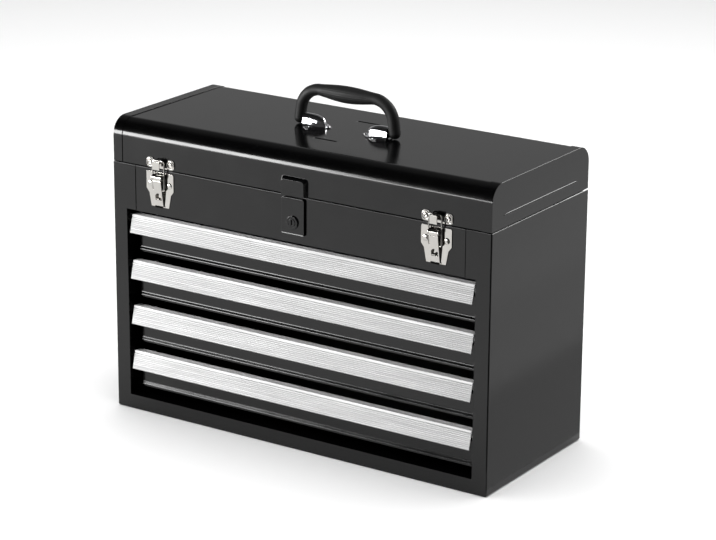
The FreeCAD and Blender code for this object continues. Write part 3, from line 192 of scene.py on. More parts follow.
# Cuts the form at each station's level and moves the chosen points towards the middle of the box,
# by a push that runs evenly from one station to the next. A negative push moves them outward.
def pressLines(form, stations, chosen, axis=1):
    for level, push in stations:
        geometry = form.verts[:] + form.edges[:] + form.faces[:]
        bmesh.ops.bisect_plane(form, geom=geometry, plane_co=(0, 0, level), plane_no=(0, 0, 1),
                               dist=meshValues["cutGap"])
    for vert in form.verts:
        if not chosen(vert.co):
            continue
        for (low, start), (high, end) in zip(stations, stations[1:]):
            if low - meshValues["levelGap"] <= vert.co.z <= high + meshValues["levelGap"]:
                share = min(max((vert.co.z - low) / (high - low), 0), 1)
                vert.co[axis] -= (start + (end - start) * share) * (1 if vert.co[axis] > 0 else -1)
                break


def pieceName(node):
    first, *others = node.split("_")
    return first + "".join(word.capitalize() for word in others)


def dressNode(node, width):
    form = nodeForm(node)
    softenEdges(form, width)
    addPiece(pieceName(node), form, bySlot[slotOf[node]], bodyOf[node], node, sharpAngle=50)


def ringAt(form, centre, along, radii, sides, flutes=(0, 0)):
    across = Vector((0, 1, 0))
    upward = across.cross(Vector(along)).normalized()
    ring = []
    for step in range(sides):
        angle = 2 * math.pi * step / sides
        lift, spread = math.cos(angle), math.sin(angle)
        reach = radii[0] if lift >= 0 else radii[1]
        sink = flutes[1] * (0.5 - 0.5 * math.cos(flutes[0] * angle))
        place = upward * lift * (reach - sink) + across * spread * (radii[0] - sink)
        ring.append(form.verts.new(Vector(centre) + place))
    return ring


def skinRings(form, rings):
    for ring, after in zip(rings, rings[1:]):
        for step in range(len(ring)):
            following = (step + 1) % len(ring)
            form.faces.new((ring[step], ring[following], after[following], after[step]))
    form.faces.new(list(reversed(rings[0])))
    form.faces.new(rings[-1])


def lathe(form, profile, centre, axis, sides):
    axis = Vector(axis).normalized()
    across = axis.orthogonal().normalized()
    beside = axis.cross(across)
    rings = []
    for radius, height in profile:
        level = Vector(centre) + axis * height
        if radius == 0:
            rings.append([form.verts.new(level)])
            continue
        angles = [2 * math.pi * step / sides for step in range(sides)]
        rings.append([form.verts.new(level + (across * math.cos(a) + beside * math.sin(a)) * radius)
                      for a in angles])
    for ring, after in zip(rings, rings[1:]):
        for step in range(sides):
            corners = [ring[step % len(ring)], ring[(step + 1) % len(ring)],
                       after[(step + 1) % len(after)], after[step % len(after)]]
            corners = list(dict.fromkeys(corners))
            if len(corners) > 2:
                form.faces.new(corners)


def extrudeOutline(form, outline, start, end, place):
    near = [form.verts.new(place(u, v, start)) for u, v in outline]
    far = [form.verts.new(place(u, v, end)) for u, v in outline]
    count = len(outline)
    for step in range(count):
        following = (step + 1) % count
        form.faces.new((near[step], near[following], far[following], far[step]))
    form.faces.new(list(reversed(near)))
    form.faces.new(far)


def alongX(y, z, x):
    return Vector((x, y, z))


def alongZ(x, y, z):
    return Vector((x, y, z))


def alongY(x, z, y):
    return Vector((x, y, z))


def arcPoints(middle, radius, start, end, steps):
    points = []
    for step in range(steps + 1):
        angle = math.radians(start + (end - start) * step / steps)
        points.append((middle[0] + radius * math.cos(angle), middle[1] + radius * math.sin(angle)))
    return points


gripForm = {
    "axis": 366.5 * mm, "footDrop": 6.85 * mm, "half": 66.5 * mm, "crest": 403.1 * mm, "bend": 27 * mm,
    "crestHalf": 37 * mm, "slope": 80, "legRadius": 6.9 * mm, "swell": 2.5 * mm, "underSwell": 1.4 * mm,
    "swellPower": 1.1, "crestGap": 0.1 * mm, "flutes": 26, "fluteDepth": 0.22 * mm, "fluteEnd": 0.86,
    "fluteFade": 0.1, "step": 0.65 * mm, "sides": 104, "footRound": 6.85 * mm, "footLeast": 0.3 * mm,
}


def gripRoute(v):
    slope = math.radians(v["slope"])
    foot = Vector((v["half"], 0, v["axis"] - v["footDrop"]))
    hub = Vector((v["crestHalf"], 0, v["crest"] - v["bend"]))
    knee = hub + Vector((math.sin(slope), 0, math.cos(slope))) * v["bend"]
    count = round((knee - foot).length / v["step"])
    points = [foot.lerp(knee, step / count) for step in range(count)]
    count = round(slope * v["bend"] / v["step"])
    for step in range(count):
        angle = slope * (1 - step / count)
        points.append(hub + Vector((math.sin(angle), 0, math.cos(angle))) * v["bend"])
    count = round(v["crestHalf"] / v["step"])
    points += [Vector((v["crestHalf"] * (1 - step / count), 0, v["crest"])) for step in range(count)]
    return points + [Vector((0, 0, v["crest"]))] + [Vector((-p.x, 0, p.z)) for p in reversed(points)]


def buildGrip(v):
    form = bmesh.new()
    route = gripRoute(v)
    rings = []
    length = 0
    total = sum((b - a).length for a, b in zip(route, route[1:]))
    for index, point in enumerate(route):
        before = route[max(index - 1, 0)]
        after = route[min(index + 1, len(route) - 1)]
        length += (point - before).length
        inset = min(length, total - length)
        share = min(abs(point.x) / v["crestHalf"], 1) if point.z > v["crest"] - v["crestGap"] else 1
        swell = math.cos(math.pi / 2 * share) ** v["swellPower"] if share < 1 else 0
        radius = v["legRadius"] + v["swell"] * swell
        depth = v["fluteDepth"] * min(max((v["fluteEnd"] - share) / v["fluteFade"], 0), 1)
        if inset < v["footRound"]:
            out = 1 - inset / v["footRound"]
            radius -= v["footRound"] * (1 - math.sqrt(max(1 - out * out, 0)))
            radius = max(radius, v["footLeast"])
        rings.append(ringAt(form, point, after - before, (radius, radius + v["underSwell"] * swell),
                            v["sides"], flutes=(v["flutes"], depth)))
    skinRings(form, rings)
    return form


addPiece("carryGrip", buildGrip(gripForm), gripRubber, "handle", "handle_grip", sharpAngle=50,
         weighted=False)

bracketValues = {
    "crown": 359.2 * mm, "mouth": 58 * mm, "hoodEnd": 48 * mm, "nose": 29 * mm, "half": 7 * mm,
    "steel": 1.0 * mm, "flangeHalf": 14 * mm, "tip": 22.5 * mm, "tipHalf": 3.2 * mm, "skirt": 0.7 * mm,
    "wallLean": 0.19, "rise": 7 * mm, "risePower": 0.7, "nosePower": 0.8, "noseLeast": 0.02,
    "flare": 0.22, "taperStart": 0.3, "taperPower": 2.1, "tipStart": 0.9, "edgeRound": 0.4 * mm,
    "edgeAngle": 1.2, "hoodSteps": 5, "noseSteps": 14, "archSteps": 20, "flangeSteps": 24,
}


def hoodStations(v, inset):
    reach = v["hoodEnd"] - v["mouth"]
    stations = [(v["mouth"] + reach * step / v["hoodSteps"], v["half"] - inset)
                for step in range(v["hoodSteps"] + 1)]
    length = v["hoodEnd"] - v["nose"] - inset
    for step in range(1, v["noseSteps"] + 1):
        angle = math.pi / 2 * step / v["noseSteps"]
        wide = (v["half"] - inset) * max(math.cos(angle), v["noseLeast"]) ** v["nosePower"]
        stations.append((v["hoodEnd"] - length * math.sin(angle), wide))
    return stations


def hoodSection(v, x, wide, side, skirt):
    low = v["crown"] + (v["steel"] * 0.5 if skirt else 0)
    share = (wide / v["half"]) ** v["risePower"]
    level = v["crown"] + v["rise"] * share
    lift = (v["half"] if skirt else v["half"] - v["steel"]) * wide / v["half"]
    base = wide + (level - low) * v["wallLean"] * 0.5
    neck = wide - (level - low) * v["wallLean"] * 0.5
    apron = [(base + v["skirt"], low), (base + v["skirt"] * 0.3, low + v["skirt"] * 0.4)] if skirt else []
    points = [(-y, z) for y, z in apron] + [(-base, low + v["skirt"]), (-neck, level)]
    for step in range(v["archSteps"] + 1):
        angle = math.pi * (1 - step / v["archSteps"])
        points.append((neck * math.cos(angle), level + 0.02 * mm + lift * math.sin(angle)))
    points += [(neck, level), (base, low + v["skirt"])] + apron[::-1]
    return [Vector((x * side, y, z)) for y, z in points]


def buildHood(form, v, side):
    outer = [[form.verts.new(p) for p in hoodSection(v, x, w, side, True)]
             for x, w in hoodStations(v, 0)]
    inner = [[form.verts.new(p) for p in hoodSection(v, x, w, side, False)]
             for x, w in hoodStations(v, v["steel"])]
    for rows, flip in ((outer, False), (inner, True)):
        for row, after in zip(rows, rows[1:]):
            for step in range(len(row) - 1):
                corners = (row[step], row[step + 1], after[step + 1], after[step])
                form.faces.new(corners[::-1] if flip else corners)
    front, back = outer[0][2:-2], inner[0]
    for step in range(len(back) - 1):
        form.faces.new((front[step], back[step], back[step + 1], front[step + 1]))
    form.faces.new(outer[-1])
    form.faces.new(inner[-1][::-1])


def flangeOutline(v, side):
    reach = v["mouth"] - v["tip"]
    points = []
    start, power = v["taperStart"], v["taperPower"]
    for step in range(v["flangeSteps"] + 1):
        share = step / v["flangeSteps"]
        x = v["mouth"] - reach * share
        flare = math.sin(min(share / v["flare"], 1) * math.pi / 2)
        taper = max(1 - ((share - start) / (1 - start)) ** power, 0) ** 0.8 if share > start else 1
        wide = v["half"] + v["skirt"] + (v["flangeHalf"] - v["half"] - v["skirt"]) * flare
        points.append((x, max(wide * taper, v["tipHalf"] * (1 - max(share - v["tipStart"], 0) * 4))))
    outline = [(x * side, y) for x, y in points] + [(x * side, -y) for x, y in reversed(points)]
    return outline if side < 0 else outline[::-1]


def buildBracket(v, side):
    form = bmesh.new()
    extrudeOutline(form, flangeOutline(v, side), v["crown"], v["crown"] + v["steel"], alongZ)
    edges = [edge for edge in form.edges if edge.calc_face_angle(0) > v["edgeAngle"]
             and min(vert.co.z for vert in edge.verts) > v["crown"] + v["steel"] / 2]
    bmesh.ops.bevel(form, geom=edges, offset=v["edgeRound"], segments=3, affect="EDGES", profile=0.5,
                    material=-1)
    buildHood(form, v, side)
    return form


for side, label in ((-1, "left"), (1, "right")):
    addPiece("bracket" + label.capitalize(), buildBracket(bracketValues, side), chrome, "lid",
             "handle_bracket_" + label, sharpAngle=60, weighted=False)
print("handle done")

latchMiddle = 190 * mm
rivetValues = {
    "shank": 1.8 * mm, "tailRadius": 2.8 * mm, "tail": 0.9 * mm, "rim": 0.12 * mm, "sides": 36, "steps": 8,
    "hollow": [(0.42, 0.02 * mm), (0.36, 0.3 * mm), (0.2, 0.55 * mm), (0, 0.6 * mm)],
    "latch": {"head": 3.8 * mm, "dome": 1.3 * mm, "grip": 2.0 * mm, "axis": (0, -1, 0),
              "beside": 13.6 * mm, "face": -108.5 * mm, "level": 289.5 * mm},
    "keeper": {"head": 3.2 * mm, "dome": 1.3 * mm, "grip": 2.0 * mm, "axis": (0, -1, 0),
               "beside": 14.8 * mm, "face": -107.3 * mm, "level": 314.5 * mm},
    "bracket": {"head": 2.4 * mm, "dome": 1.2 * mm, "grip": 3.0 * mm, "axis": (0, 0, 1),
                "spots": [(44 * mm, 10.8 * mm), (44 * mm, -10.8 * mm), (26.1 * mm, 0)],
                "level": 360.2 * mm},
}


def rivetPlaces(kind):
    if "spots" in kind:
        return [(x * side, y, kind["level"]) for side in (-1, 1) for x, y in kind["spots"]]
    return [(latchMiddle * side + kind["beside"] * way, kind["face"], kind["level"])
            for side in (-1, 1) for way in (-1, 1)]


def rivetProfile(v, kind, hollow):
    head, dome = kind["head"], kind["dome"]
    profile = [(0, -kind["grip"] - v["tail"]), (v["tailRadius"] * 0.8, -kind["grip"] - v["tail"]),
               (v["tailRadius"], -kind["grip"] - v["tail"] * 0.7), (v["tailRadius"], -kind["grip"]),
               (v["shank"], -kind["grip"]), (v["shank"], 0.0), (head * 0.97, 0.0), (head, v["rim"])]
    for step in range(1, v["steps"] + 1):
        angle = math.pi / 2 * step / v["steps"]
        profile.append((head * math.cos(angle), v["rim"] + (dome - v["rim"]) * math.sin(angle)))
    if hollow:
        rim = [point for point in profile if point[0] > head * 0.5 or point[1] < 0]
        return rim + [(head * share, rim[-1][1] - sink) for share, sink in v["hollow"]]
    profile[-1] = (0, dome)
    return profile


def buildRivets(v, kind, hollow=False):
    form = bmesh.new()
    for place in rivetPlaces(kind):
        lathe(form, rivetProfile(v, kind, hollow), place, kind["axis"], v["sides"])
    return form


addPiece("latchRivets", buildRivets(rivetValues, rivetValues["latch"]), nickel, "case",
         "latch_rivets", sharpAngle=60, weighted=False)
addPiece("keeperRivets", buildRivets(rivetValues, rivetValues["keeper"], True), nickel, "lid",
         "keeper_rivets", sharpAngle=60, weighted=False)
addPiece("bracketRivets", buildRivets(rivetValues, rivetValues["bracket"]), chrome, "lid",
         "bracket_rivets", sharpAngle=60, weighted=False)

bailValues = {"out": -111.1 * mm, "low": 283 * mm, "high": 318.7 * mm, "half": 8.3 * mm,
              "foot": 4.75 * mm, "bend": 2.2 * mm, "radius": 0.95 * mm, "sides": 20, "steps": 8}


def buildBail(v, middle):
    half, bend = v["half"], v["bend"]
    line = [(v["foot"], v["low"])]
    line += arcPoints((half - bend, v["low"] + bend), bend, -90, 0, v["steps"])
    line += arcPoints((half - bend, v["high"] - bend), bend, 0, 90, v["steps"])
    route = [Vector((middle + u, v["out"], w)) for u, w in line]
    route += [Vector((middle - u, v["out"], w)) for u, w in reversed(line)]
    form = bmesh.new()
    rings = []
    for index, point in enumerate(route):
        before, after = route[max(index - 1, 0)], route[min(index + 1, len(route) - 1)]
        rings.append(ringAt(form, point, after - before, (v["radius"],) * 2, v["sides"]))
    skinRings(form, rings)
    return form


keeperRimValues = {"offset": 14.8 * mm, "level": 314.5 * mm, "face": -107.3 * mm, "inner": 4.15 * mm,
                   "outer": 5.35 * mm, "height": 0.65 * mm, "spread": 0.25 * mm, "sink": 0.1 * mm,
                   "sides": 48}


def addKeeperRims(form, v, middle):
    wide = v["outer"] - v["inner"]
    profile = [(v["outer"] + v["spread"], -v["sink"]), (v["outer"], v["height"] * 0.5),
               (v["outer"] - wide * 0.25, v["height"] * 0.9), (v["outer"] - wide * 0.5, v["height"]),
               (v["inner"] + wide * 0.25, v["height"] * 0.9), (v["inner"], v["height"] * 0.5),
               (v["inner"] - v["spread"], -v["sink"]), (v["outer"] + v["spread"], -v["sink"])]
    for way in (-1, 1):
        centre = (middle + v["offset"] * way, v["face"], v["level"])
        lathe(form, profile, centre, (0, -1, 0), v["sides"])


keeperValues = {
    "face": -107.3 * mm, "rear": -106.3 * mm, "low": 308.5 * mm, "high": 320.5 * mm, "half": 20 * mm,
    "corner": 4 * mm, "notchNear": 5.6 * mm, "notchFar": 10.4 * mm, "notchSill": 1.7 * mm,
    "notchRound": 2.2 * mm, "shelf": 317.45 * mm, "shelfHalf": 4.75 * mm, "shelfRoot": 0.05 * mm,
    "lipOut": -116 * mm, "lipTop": 319 * mm, "lipDrop": 0.3 * mm, "steel": 1 * mm, "lipBend": 1.2 * mm,
    "soft": 0.22 * mm,
}


def buildKeeper(v, middle):
    near, far, turn = v["notchNear"], v["notchFar"], v["notchRound"]
    low, high, corner = v["low"], v["high"], v["corner"]
    sill = low + v["notchSill"]
    side = arcPoints((v["half"] - corner, low + corner), corner, -90, 0, 8)
    side += arcPoints((v["half"] - corner, high - corner), corner, 0, 90, 8)
    side += arcPoints((far + turn, high - turn), turn, 90, 180, 6)
    side += arcPoints((far - turn * 0.5, sill + turn * 0.5), turn * 0.5, 0, -90, 4)
    side += arcPoints((near + turn * 0.25, sill + turn * 0.25), turn * 0.25, -90, -180, 4)
    side.append((near, v["shelf"] - v["steel"] * 0.5))
    plate = [(middle + x, z) for x, z in side] + [(middle - x, z) for x, z in reversed(side)]
    form = bmesh.new()
    extrudeOutline(form, plate, v["face"], v["rear"], alongY)
    steel, shelf, bend = v["steel"], v["shelf"], v["lipBend"]
    inner, core, root = v["lipOut"] + steel, v["lipOut"] + steel * 0.5, v["face"] + v["shelfRoot"]
    hook = [(root, shelf - steel), (root, shelf), (inner, shelf), (inner, v["lipTop"] - v["lipDrop"])]
    hook += arcPoints((core, v["lipTop"] - steel * 0.5), steel * 0.5, 0, 180, 6)
    hook += arcPoints((core, low + steel * 0.5), steel * 0.5, 180, 360, 6)
    hook += [(inner, shelf - steel - bend), (inner + bend * 0.3, shelf - steel - bend * 0.3),
             (inner + bend, shelf - steel)]
    extrudeOutline(form, hook, middle - v["shelfHalf"], middle + v["shelfHalf"], alongX)
    softenEdges(form, v["soft"], 2, 40)
    addKeeperRims(form, keeperRimValues, middle)
    return form


latchValues = {"rollFoot": 295.4 * mm, "tail": 250 * mm, "leverSink": 0.35 * mm, "leverFront": -109.6 * mm,
               "grooveSink": 0.84 * mm, "groove": (1.0 * mm, 0.5 * mm, 0.35 * mm), "above": 0.1 * mm,
               "soft": 0.22 * mm}


def buildLever(v, node):
    form = nodeForm(node)
    softenEdges(form, v["soft"], 2)
    foot, sink, deep = v["rollFoot"], v["leverSink"], v["grooveSink"]
    start, bottom, end = v["groove"]
    stations = [(v["tail"], sink), (foot - start, sink), (foot - bottom, deep), (foot - end, deep),
                (foot, 0), (foot + v["above"], 0)]
    pressLines(form, stations, lambda place: place.y < v["leverFront"] and place.z < foot)
    return form


for side, label in ((-1, "left"), (1, "right")):
    middle = latchMiddle * side
    addPiece("latchBail" + label.capitalize(), buildBail(bailValues, middle), nickel, "bail_" + label,
             "latch_bail_" + label, sharpAngle=70, weighted=False)
    addPiece("latchKeeper" + label.capitalize(), buildKeeper(keeperValues, middle), nickel,
             "lid", "latch_keeper_" + label, sharpAngle=55)
    addPiece("latchLever" + label.capitalize(), buildLever(latchValues, "latch_lever_" + label), nickel,
             "lever_" + label, "latch_lever_" + label)
print("latches done")

pullValues = {
    "half": 236.5 * mm, "front": -93 * mm, "depth": 9.4 * mm, "lean": 5.3 * mm, "drop": 22.1 * mm,
    "wall": 1.5 * mm, "leg": 12 * mm, "lip": 1.2 * mm, "rearDrop": 0.2 * mm,
    "topRibs": 4, "topStep": 0.45 * mm, "topGap": 0.03, "ribs": 9, "ribDepth": 0.35 * mm, "ribStart": 0.17,
    "rib": [(0.08, 0.35), (0.2, 0.06), (0.36, 0.0), (0.52, 0.06), (0.64, 0.35), (0.82, 1.0)],
    "groove": [(0.01, 0), (0.1, 0), (0.115, 0.7 * mm), (0.15, 0.7 * mm), (0.165, 0)],
    "crests": {4: 73.3 * mm, 3: 130.3 * mm, 2: 187.3 * mm, 1: 244.3 * mm},
}


def buildPull(v, crest):
    front, brow = v["front"], v["front"] - v["depth"]
    foot, bottom = brow - v["lean"], crest - v["drop"]
    wall, lip = v["wall"], v["lip"]
    outline = [(front - wall, crest - v["leg"]), (front, crest - v["leg"]), (front, crest - v["rearDrop"])]
    pitch = v["depth"] / v["topRibs"]
    for rib in range(v["topRibs"]):
        outline += [(front - pitch * (rib + v["topGap"]), crest - v["topStep"]),
                    (front - pitch * (rib + 1), crest)]
    marks = list(v["groove"])
    for rib in range(v["ribs"]):
        marks += [(v["ribStart"] + (1 - v["ribStart"]) * (rib + share) / v["ribs"], v["ribDepth"] * sink)
                  for share, sink in v["rib"]]
    outline += [(brow - v["lean"] * along + sink, crest - v["drop"] * along) for along, sink in marks]
    outline += [(foot, bottom), (foot + wall + lip, bottom), (foot + wall + lip, bottom + lip),
                (foot + wall, bottom + lip * 2), (brow + wall, crest - wall - v["ribDepth"]),
                (front - wall, crest - wall - v["ribDepth"])]
    form = bmesh.new()
    extrudeOutline(form, outline, -v["half"], v["half"], alongX)
    return form


for number, crest in pullValues["crests"].items():
    addPiece("pull%d" % number, buildPull(pullValues, crest), aluminium, "drawer_%d" % number,
             "drawer_%d_pull" % number, sharpAngle=48, weighted=False)
print("pulls done")

# Edges, beads and lines of the sheet pieces, tilted so that they catch the strip light as in the photo.
edgeValues = {
    "soft": 0.3 * mm, "caseFront": -107 * mm, "lineHeight": 0.45 * mm, "linePush": 0.082 * mm,
    "sideLine": 0.42 * mm, "sideLean": 0.9, "sideWall": 259.6 * mm,
    "seam": 0.35 * mm, "seamReach": 0.5 * mm, "fasciaFace": -107.2 * mm,
}
trayValues = {
    "soft": 0.2 * mm, "front": -93 * mm, "frontGap": 0.05 * mm, "beadReach": 2.3 * mm,
    "beadLevels": {4: 30.6 * mm, 3: 87.6 * mm, 2: 144.6 * mm, 1: 201.6 * mm},
    "bead": [(-2.2, -0.2), (-2.1, -1.0), (-1.9, -1.085), (-1.4, -0.98), (1.2, 0.15), (1.35, -0.5),
             (1.55, -0.86), (2.1, -0.74), (2.2, 0)],
}
ridgeValues = {
    "soft": 0.3 * mm, "face": 259.2 * mm, "faceGap": 0.02 * mm, "level": 321.8 * mm, "clear": 2 * mm,
    "half": 1.35 * mm, "out": 0.72 * mm, "root": 0.05 * mm, "front": -83.5 * mm, "rear": 83.5 * mm,
    "taper": 9 * mm, "taperPower": 0.6, "leastHalf": 0.05, "leastOut": 0.02, "steps": 40, "sides": 16,
}
escutcheonValues = {
    "soft": 0.3 * mm, "face": -110.3 * mm, "footRib": [(0.9, 0), (1.0, -0.32), (1.7, -0.18), (1.9, 0)],
    "lineHeight": 0.45 * mm, "linePush": 0.082 * mm,
}
lidTopValues = {
    "soft": 0.3 * mm, "plateSoft": 0.15 * mm, "slotPlace": 44.5 * mm, "slotReach": 16.5 * mm,
    "slotWidth": 2.2 * mm, "slotLevel": 358.2 * mm, "slotSpread": 0.5, "tabDrop": 0.9 * mm,
}


def buildTray(v, number):
    form = nodeForm("drawer_%d_tray" % number)
    softenEdges(form, v["soft"], 2)
    bead = v["beadLevels"][number]
    for vert in form.verts:
        if vert.co.y < v["front"] and abs(vert.co.z - bead) < v["beadReach"]:
            vert.co.y = v["front"]
    stations = [(bead + level * mm, push * mm) for level, push in v["bead"]]
    pressLines(form, stations, lambda place: place.y < v["front"] + v["frontGap"])
    return form


def buildEdged(v, node):
    form = nodeForm(node)
    softenEdges(form, v["soft"], 1)
    top = max(vert.co.z for vert in form.verts)
    stations = [(top - v["lineHeight"], 0), (top, v["linePush"])]
    pressLines(form, stations, lambda place: place.y < v["caseFront"])
    slope = [(top - v["sideLine"], 0), (top, v["sideLine"] * v["sideLean"])]
    pressLines(form, slope, lambda place: abs(place.x) > v["sideWall"], 0)
    return form


def buildFascia(v):
    form = buildEdged(v, "front_fascia")
    ends = max(vert.co.x for vert in form.verts if vert.co.y < v["fasciaFace"])
    for vert in form.verts:
        if vert.co.x < v["seamReach"] - ends and vert.co.y < v["caseFront"]:
            vert.co.x += v["seam"]
    return form


def addRidge(form, v, side):
    rings = []
    reach = v["rear"] - v["front"]
    base = v["face"] - v["root"]
    for step in range(v["steps"] + 1):
        y = v["front"] + reach * step / v["steps"]
        inset = min(y - v["front"], v["rear"] - y)
        full = min(inset / v["taper"], 1)
        swell = math.sin(math.pi / 2 * full) ** v["taperPower"] if inset > 0 else 0
        half = v["half"] * max(swell, v["leastHalf"])
        out = (v["out"] + v["root"]) * max(swell, v["leastOut"])
        angles = [math.pi * part / v["sides"] for part in range(v["sides"] + 1)]
        rings.append([form.verts.new(((base + out * math.sin(a)) * side, y, v["level"] + half * math.cos(a)))
                      for a in angles])
    skinRings(form, rings)


def buildLidEnd(v, side, label):
    form = nodeForm("lid_end_" + label)
    softenEdges(form, v["soft"], 1)
    for vert in form.verts:
        if abs(vert.co.x) > v["face"] + v["faceGap"] and abs(vert.co.z - v["level"]) < v["clear"]:
            vert.co.x = math.copysign(v["face"], vert.co.x)
    addRidge(form, v, side)
    return form


def buildEscutcheon(v):
    form = nodeForm("lock_escutcheon")
    softenEdges(form, v["soft"], 2)
    low = min(vert.co.z for vert in form.verts)
    top = max(vert.co.z for vert in form.verts)
    stations = [(low + height * mm, push * mm) for height, push in v["footRib"]]
    stations += [(top - v["lineHeight"], 0), (top, v["linePush"])]
    pressLines(form, stations, lambda place: place.y < v["face"])
    return form


def buildLidShell(v):
    form = nodeForm("lid_shell")
    for vert in form.verts:
        offset = abs(vert.co.y) - v["slotPlace"]
        if abs(vert.co.x) < v["slotReach"] and abs(offset) < v["slotWidth"] and vert.co.z > v["slotLevel"]:
            vert.co.y += math.copysign(offset * v["slotSpread"], vert.co.y)
    softenEdges(form, v["soft"], 2)
    return form


def buildHandlePlate(v):
    form = nodeForm("handle_plate")
    for vert in form.verts:
        if vert.co.z > v["slotLevel"]:
            vert.co.z -= v["tabDrop"]
    softenEdges(form, v["plateSoft"], 2)
    return form


for number in (1, 2, 3, 4):
    addPiece("drawer%dTray" % number, buildTray(trayValues, number), blackPaint, "drawer_%d" % number,
             "drawer_%d_tray" % number, sharpAngle=8)
addPiece("caseBody", buildEdged(edgeValues, "case_body"), blackPaint, "case", "case_body", sharpAngle=20)
addPiece("lidShell", buildLidShell(lidTopValues), blackPaint, "lid", "lid_shell")
addPiece("handlePlate", buildHandlePlate(lidTopValues), bySlot[slotOf["handle_plate"]], "lid",
         "handle_plate")
addPiece("lockEscutcheon", buildEscutcheon(escutcheonValues), blackPaint, "case", "lock_escutcheon",
         sharpAngle=8)
addPiece("frontFascia", buildFascia(edgeValues), blackPaint, "case", "front_fascia", sharpAngle=8)
for side, label in ((-1, "left"), (1, "right")):
    addPiece("lidEnd" + label.capitalize(), buildLidEnd(ridgeValues, side, label), blackPaint, "lid",
             "lid_end_" + label, sharpAngle=20)
print("sheet edges done")

# The pieces that the scene has not rebuilt keep the form of their solids, with softened edges.
edgeWidths = {"drawer": 0.2 * mm, "latch": 0.22 * mm, "other": 0.25 * mm}
for node in sorted(frame["nodes"]):
    if not frame["nodes"][node].hide_render:
        dressNode(node, edgeWidths.get(node.split("_")[0], edgeWidths["other"]))
print("solids dressed")

# The flags, and the boxes other than the one overhead, show in reflections alone. The flags are glowing
# sheets that paint reflections:
# the side ones a painted floor reflection, dimmer near the box so that its right side is painted darker
# towards the bottom, and the front one a dark painted reflection for the dark side of the room at the front
# right.
studioValues = {
    "floorHalf": 6.0, "floorLevel": -0.0002, "floorColour": (0.9, 0.9, 0.9), "floorRoughness": 0.9,
    "horizonFront": 0.054, "horizonRear": 0.36, "sideStart": -0.2, "sideEnd": 0.3,
    "overhead": 0.35, "bandTop": 0.43, "bandEnd": 0.55, "flagLevel": 0.0006, "flagColour": (0.02, 0.02, 0.02),
    # Painted reflections: each flag is a glowing sheet that is no lamp. The side glows paint the right side
    # of the box darker towards its bottom, and the dim front one paints a dark reflection at the front right.
    "flags": {
        "sideFlagNear": {"corners": [(0.27, -0.14), (0.43, -0.14), (0.43, 2.6), (0.27, 2.6)], "glow": 0.3},
        "sideFlagMiddle": {"corners": [(0.43, -0.14), (0.6, -0.14), (0.6, 2.6), (0.43, 2.6)], "glow": 0.55},
        "sideFlagFar": {"corners": [(0.6, -0.14), (2.4, -0.14), (2.4, 2.6), (0.6, 2.6)], "glow": 0.68},
        "frontFlag": {"corners": [(0.3, -0.145), (0.05, -0.6), (-0.25, -1.3), (-0.3, -3.2), (3, -3.2),
                                  (3, -0.145)], "glow": 0.02},
    },
}
softBoxes = {
    "frontBox": {"place": (-2.4, -2.0, 0.49), "aim": (0, 0, 0.3), "size": (2.2, 0.88), "power": 158,
                 "glossy": True, "diffuse": False},
    "frontBoxRight": {"place": (-1.3, -3.2, 0.3), "aim": (0, 0, 0.3), "size": (1.0, 0.2), "power": 13,
                      "glossy": True, "diffuse": False},
    "rearBox": {"place": (1.15, 2.56, 1.85), "aim": (0, 0, 0.3), "size": (3.0, 0.8), "power": 105,
                "glossy": True, "diffuse": False},
    "overheadBox": {"place": (0.0, 0.0, 3.2), "aim": (0, 0, 0), "size": (4.5, 4.5), "power": 235,
                    "glossy": False, "diffuse": True},
}


def softBox(name, v):
    light = bpy.data.lights.new(name, "AREA")
    light.shape = "RECTANGLE"
    light.size, light.size_y = v["size"]
    light.energy = v["power"]
    lamp = bpy.data.objects.new(name, light)
    bpy.context.scene.collection.objects.link(lamp)
    heading = Vector(v["aim"]) - Vector(v["place"])
    turned = heading.to_track_quat("-Z", "Y").to_matrix().to_4x4()
    lamp.matrix_world = Matrix.Translation(v["place"]) @ turned
    lamp.visible_glossy = v["glossy"]
    lamp.visible_diffuse = v["diffuse"]
    lamp.visible_camera = False


def stageSheet(name, corners, level, material):
    form = bmesh.new()
    form.faces.new([form.verts.new((x, y, level)) for x, y in corners])
    mesh = bpy.data.meshes.new(name)
    form.to_mesh(mesh)
    form.free()
    mesh.materials.append(material)
    sheet = bpy.data.objects.new(name, mesh)
    bpy.context.scene.collection.objects.link(sheet)
    return sheet


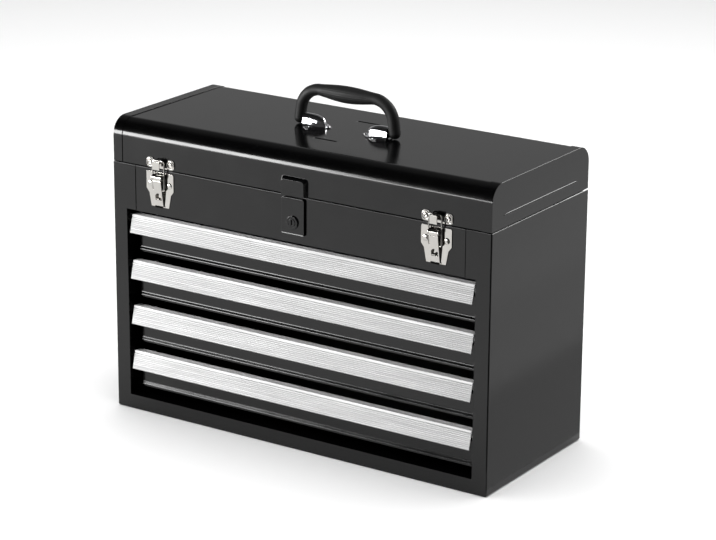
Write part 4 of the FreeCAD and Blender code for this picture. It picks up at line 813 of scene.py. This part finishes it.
def makeFloor(v):
    paper = bpy.data.materials.new("floorPaper")
    paper.use_nodes = True
    shader = paper.node_tree.nodes["Principled BSDF"]
    shader.inputs["Base Color"].default_value = (*v["floorColour"], 1)
    shader.inputs["Roughness"].default_value = v["floorRoughness"]
    half = v["floorHalf"]
    corners = [(-half, -half), (half, -half), (half, half), (-half, half)]
    stageSheet("floorSheet", corners, v["floorLevel"], paper)
    for name, flagValues in v["flags"].items():
        # Each flag's material is a dark sheet whose glow paints a reflection on the box.
        reflectionGlow = bpy.data.materials.new(name + "Felt")
        reflectionGlow.use_nodes = True
        shader = reflectionGlow.node_tree.nodes["Principled BSDF"]
        shader.inputs["Base Color"].default_value = (*v["flagColour"], 1)
        shader.inputs["Emission Color"].default_value = (1, 1, 1, 1)
        shader.inputs["Emission Strength"].default_value = flagValues["glow"]
        flag = stageSheet(name, flagValues["corners"], v["flagLevel"], reflectionGlow)
        flag.visible_camera = False
        flag.visible_diffuse = False
        flag.visible_shadow = False


def makeSky(v):
    world = bpy.data.worlds.new("studio")
    world.use_nodes = True
    tree = world.node_tree
    background = tree.nodes["Background"]
    background.inputs["Color"].default_value = (1, 1, 1, 1)
    place = tree.nodes.new("ShaderNodeTexCoord")
    split = tree.nodes.new("ShaderNodeSeparateXYZ")
    tree.links.new(place.outputs["Generated"], split.inputs["Vector"])
    sides = tree.nodes.new("ShaderNodeMapRange")
    heights = tree.nodes.new("ShaderNodeMapRange")
    for node, low, high in ((sides, v["sideStart"], v["sideEnd"]), (heights, v["bandTop"], v["bandEnd"])):
        node.interpolation_type = "SMOOTHSTEP"
        node.inputs["From Min"].default_value = low
        node.inputs["From Max"].default_value = high
    sides.inputs["To Min"].default_value = v["horizonFront"]
    sides.inputs["To Max"].default_value = v["horizonRear"]
    heights.inputs["To Min"].default_value = 1
    heights.inputs["To Max"].default_value = v["overhead"]
    tree.links.new(split.outputs["Y"], sides.inputs["Value"])
    tree.links.new(split.outputs["Z"], heights.inputs["Value"])
    product = tree.nodes.new("ShaderNodeMath")
    product.operation = "MULTIPLY"
    tree.links.new(sides.outputs["Result"], product.inputs[0])
    tree.links.new(heights.outputs["Result"], product.inputs[1])
    # The camera sees a plain white sky, while the box is lit and mirrored by the two bands.
    seen = tree.nodes.new("ShaderNodeLightPath")
    choice = tree.nodes.new("ShaderNodeMix")
    choice.inputs[3].default_value = 1
    tree.links.new(seen.outputs["Is Camera Ray"], choice.inputs[0])
    tree.links.new(product.outputs["Value"], choice.inputs[2])
    tree.links.new(choice.outputs[0], background.inputs["Strength"])
    bpy.context.scene.world = world


makeFloor(studioValues)
makeSky(studioValues)
for name, values in softBoxes.items():
    softBox(name, values)
bpy.context.scene.view_settings.view_transform = "Standard"
print("studio ready")
